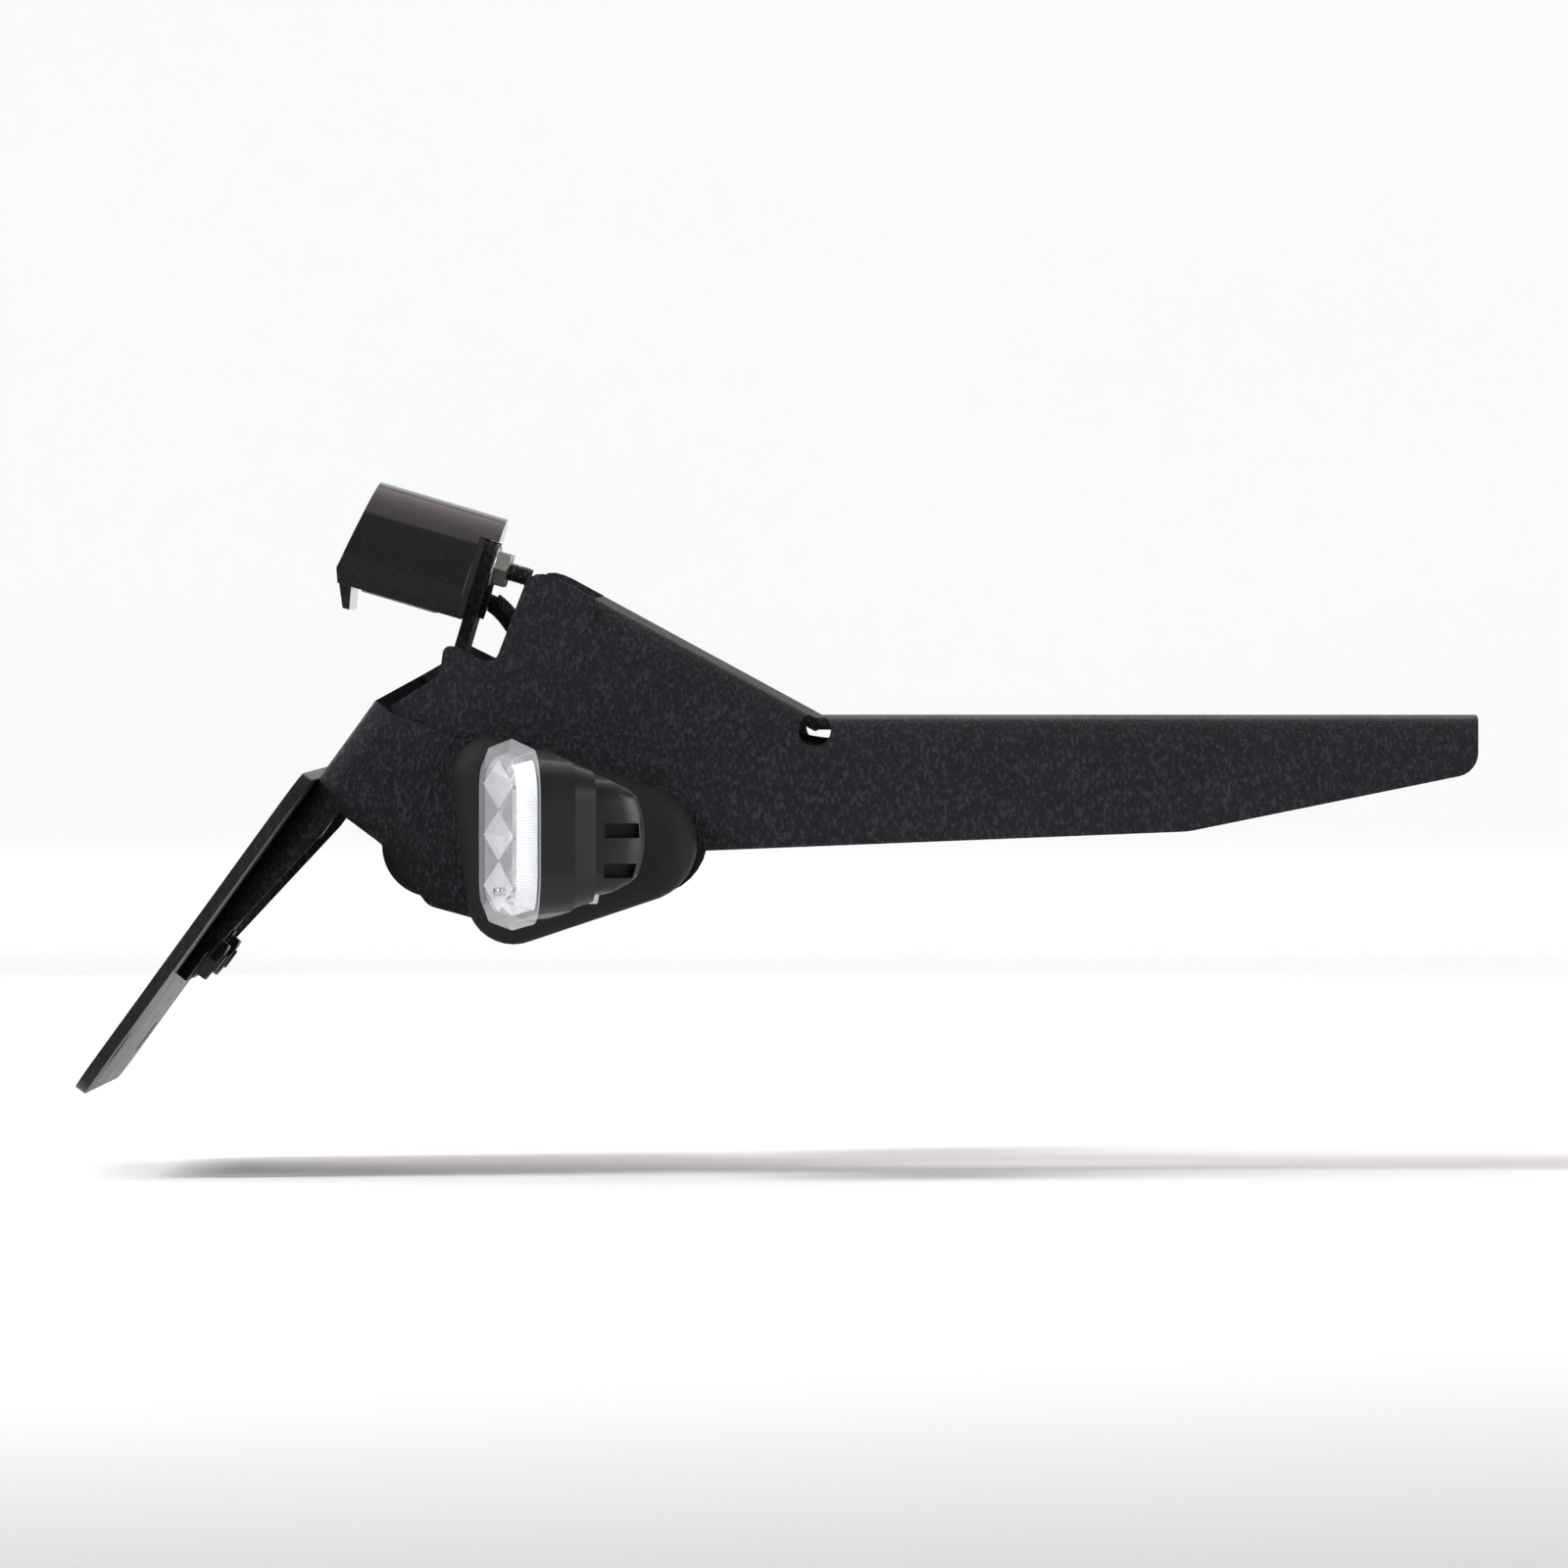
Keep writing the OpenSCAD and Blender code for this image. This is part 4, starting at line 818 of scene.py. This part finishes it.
# The indicators' base pads. Soft rubber on a thin gasket outside each cheek, with a stem that
# carries the head, held by two M5 screws with washers from inside the arm.
BASE_SCREWS = [(-103.8, 11.927, 0), (-87.2, 16.327, 0)]
BASE_SCREW_HEAD_Y = -29 * mm
BASE_WASHER_T = 1 * mm
mirror = {"right_": Matrix.Identity(4), "left_": Matrix.Diagonal((1, -1, 1, 1))}
for side, turned_over in mirror.items():
    dressed(side + "base_gasket", black_rubber, "black_rubber", edge=0.15 * mm)
    dressed(side + "base", black_rubber, "black_rubber", edge=0, smooth=35)
    inboard = (turned_over @ Matrix.Translation((0, BASE_SCREW_HEAD_Y, 0))
               @ Matrix.Rotation(radians(-90), 4, "X"))
    screw.make(side + "base_screws_cut", BASE_SCREWS, inboard, black_zinc, "black_zinc",
               side + "base_screws", radius=2.5 * mm, length=12.5 * mm, head_low=4.4 * mm,
               head_high=4.4 * mm, head_height=2.6 * mm, socket=1.7 * mm, pitch=0.8 * mm)
    washer.make(side + "base_washers_cut", BASE_SCREWS, lifted(inboard, -BASE_WASHER_T),
                black_zinc, "black_zinc", side + "base_washers", bore=2.75 * mm,
                outside=5 * mm, thick=BASE_WASHER_T)


# The indicators' housings and bulb holders. Satin black mouldings with a spark-eroded grain:
# a plain band, a tapered step, and a domed cap with two slots and the lens screw's pocket.
HEAD_AT = (-99.8 * mm, -51 * mm, -18.93 * mm)
HEAD_TURN = radians(10)
CAP_X = 4.2  # plain numbers here are millimetres in the head's own frame
DOME_HALF_H = 11.9
DOME_LEAST = 0.1
SLICE = 1.1
SLICES_EACH_WAY = 10


def satin_plastic(name, colour, rough):
    """Satin black moulding with a fine spark-eroded texture."""
    skin = Paint(name, colour, Specular_IOR_Level=0.32)
    grain = skin.noise(0.3 * mm, rough=0.6)
    cloud = skin.noise(8 * mm)
    skin.feed("Base Color", skin.blend(cloud, colour, tuple(1.4 * c for c in colour)))
    skin.feed("Roughness", rough + 0.12 * cloud)
    skin.bump(grain, 0.012 * mm, 0.5)
    return skin.material


def in_head(head, change):
    """A reshaping that is worked out in the head's own frame, in millimetres."""
    inverse = head.inverted()
    return lambda p: head @ (change(inverse @ p / mm) * mm)


def domed(p):
    """Rounds the cap: its end falls away towards the top and bottom of the head."""
    past = max(0, p.x - CAP_X)
    fall = 1 - sqrt(max(DOME_LEAST, 1 - (p.z / DOME_HALF_H) ** 2))
    return Vector((p.x - fall * past, p.y, p.z))


def slices_up(head):
    """Level planes up the head, close enough for a smooth curve between them."""
    return [(head @ (Vector((0, 0, SLICE * k)) * mm), (0, 0, 1))
            for k in range(-SLICES_EACH_WAY, SLICES_EACH_WAY + 1)]


black_moulding = satin_plastic("black_moulding", (0.0065, 0.0068, 0.008), rough=0.3)
heads = {}
for side, turned_over in mirror.items():
    heads[side] = (turned_over @ Matrix.Translation(HEAD_AT)
                   @ Matrix.Rotation(HEAD_TURN, 4, "Z"))
    dressed(side + "housing", black_moulding, "black_moulding", edge=0.4 * mm)
    dressed(side + "bulb_holder", black_moulding, "black_moulding", edge=0.5 * mm, smooth=35,
            reshape=in_head(heads[side], domed), slices=slices_up(heads[side]))


# The indicators' optics. A metallised reflector and a silvered bulb stand inside a clear
# moulded lens, with large facets on its rear wall and fine flutes round its outboard end. A
# small bright screw through the bulb holder draws the lens on to the housing.
HEAD_W = 43.0  # plain numbers are millimetres here too
END_CORNER_R = 8.5
END_CORNER_Z = 6.0
SEAM_X = -6.0
LENS_REAR_X = -10.05
LENS_SHARE = 0.45
OPTICS_SHARE = 0.3
FLUTE_R = 0.34
FLUTE_PITCH = 0.5
FLUTE_FROM = 0.3
FLUTE_TO = 3.6
FLUTE_FRONT_INSET = 2.3
FLUTE_REAR_INSET = 3.1
FACETS = [(-8.4, -5, 0), (0, -5, 0), (8.4, -5, 0)]
FACET_LONG = 4.3
LENS_SCREWS = [(9, -30, 0)]
LENS_SCREW_HEAD_X = 3.6 * mm
chrome = Paint("reflector_chrome", (0.9, 0.9, 0.9), Metallic=1.0)
mist = chrome.noise(2 * mm)
chrome.feed("Base Color", chrome.blend(mist, (0.92, 0.92, 0.93), (0.8, 0.8, 0.81)))
chrome.feed("Roughness", 0.04 + 0.08 * mist)
silvered = Paint("bulb_silvered", (0.78, 0.76, 0.72), Metallic=0.85)
tarnish = silvered.noise(2.5 * mm)
silvered.feed("Base Color", silvered.blend(tarnish, (0.8, 0.78, 0.74), (0.62, 0.58, 0.52)))
silvered.feed("Roughness", 0.08 + 0.12 * tarnish)
lens_clear = clear_plastic("lens_clear", (0.9, 0.92, 0.94), clear=0.05, haze=0.03, rim=0.35)
faceted = Paint("lens_prism", (0.93, 0.95, 0.97), Roughness=0.12, Specular_IOR_Level=0.6)
# Painted shade: facets that face down are coloured dark grey by their normal, and facets that
# face up near white
facing = faceted.add("ShaderNodeSeparateXYZ", {}, {
    0: faceted.add("ShaderNodeTexCoord", {}, {}, "Normal")}, 2)
painted_underside_shade = faceted.steps(0.5 - 0.5 * facing, (0.46, 0), (0.6, 1))
faceted.feed("Base Color", faceted.blend(painted_underside_shade * (0.8 + 0.2 * faceted.noise(2 * mm)),
                                         (0.96, 0.97, 0.98), (0.3, 0.32, 0.33)))
frosted = Paint("lens_fluted", (0.92, 0.94, 0.96), Specular_IOR_Level=0.6)
frost = frosted.noise(1.5 * mm)
frosted.feed("Base Color", frosted.blend(frost, (0.95, 0.96, 0.97), (0.86, 0.89, 0.92)))
frosted.feed("Roughness", 0.18 + 0.2 * frost)


def end_outline(inset):
    """Places along the lens's rounded outboard end, drawn in by an inset, as (y, z)."""
    r = END_CORNER_R - inset
    corner_l, flat_l = r * pi / 2, 2 * END_CORNER_Z
    count = int((2 * corner_l + flat_l) / FLUTE_PITCH)
    places = []
    for k in range(count + 1):
        s = k * (2 * corner_l + flat_l) / count
        if s < corner_l:
            a = s / r
            places.append((END_CORNER_R - HEAD_W - r * sin(a), END_CORNER_Z + r * cos(a)))
        elif s < corner_l + flat_l:
            places.append((inset - HEAD_W, END_CORNER_Z - (s - corner_l)))
        else:
            a = (s - corner_l - flat_l) / r
            places.append((END_CORNER_R - HEAD_W - r * cos(a), -END_CORNER_Z - r * sin(a)))
    return places


def drawn_in(share):
    """Makes what stands behind the head's seam shallower, by a share of its depth."""
    return lambda p: Vector((SEAM_X + (p.x - SEAM_X) * share if p.x < SEAM_X else p.x,
                             p.y, p.z))


def flutes():
    """Lines for the flutes, from the seam back along the taper of the lens's inner wall."""
    front, rear = end_outline(FLUTE_FRONT_INSET), end_outline(FLUTE_REAR_INSET)
    points, links = [], []
    for k in range(min(len(front), len(rear))):
        y, z = front[k]
        share = k / (len(front) - 1)
        y2, z2 = rear[round(share * (len(rear) - 1))]
        points += [(SEAM_X - FLUTE_FROM, y, z), (SEAM_X - FLUTE_TO, y2, z2)]
        links.append((2 * k, 2 * k + 1))
    return points, links


facet = Pattern("lens_prisms", low=4.1 * mm, height=1.9 * mm)
facet.close(facet.taper(4, facet.size("low"), 0.0, facet.size("height")))
flute_points, flute_links = flutes()
for side, head in heads.items():
    forward = head @ Matrix.Rotation(radians(90), 4, "Y")
    shallower = in_head(head, drawn_in(OPTICS_SHARE))
    dressed(side + "reflector", chrome.material, "reflector_chrome", edge=0, smooth=20,
            reshape=shallower)
    dressed(side + "bulb", silvered.material, "bulb_silvered", edge=0, smooth=40,
            reshape=shallower)
    dressed(side + "lens", lens_clear, "lens_clear", edge=0.5 * mm, smooth=25,
            reshape=in_head(head, drawn_in(LENS_SHARE)))
    bead.make(side + "lens_flutes", flute_points, head, frosted.material, "lens_clear",
              links=flute_links, radius=FLUTE_R * mm, sides=8, smooth=60)
    rear_wall = lifted(forward, LENS_REAR_X * mm) @ Matrix.Diagonal((1, FACET_LONG, 1, 1))
    facet.make(side + "lens_prisms", FACETS, rear_wall, faceted.material, "lens_clear",
               smooth=10)
    screw.make(side + "lens_screw_cut", LENS_SCREWS, lifted(forward, LENS_SCREW_HEAD_X),
               bright_zinc, "bright_zinc", side + "lens_screw", radius=0.75 * mm,
               length=15.6 * mm, head_low=2.1 * mm, head_high=2.1 * mm,
               head_height=1.5 * mm, socket=0.8 * mm, pitch=0.6 * mm)
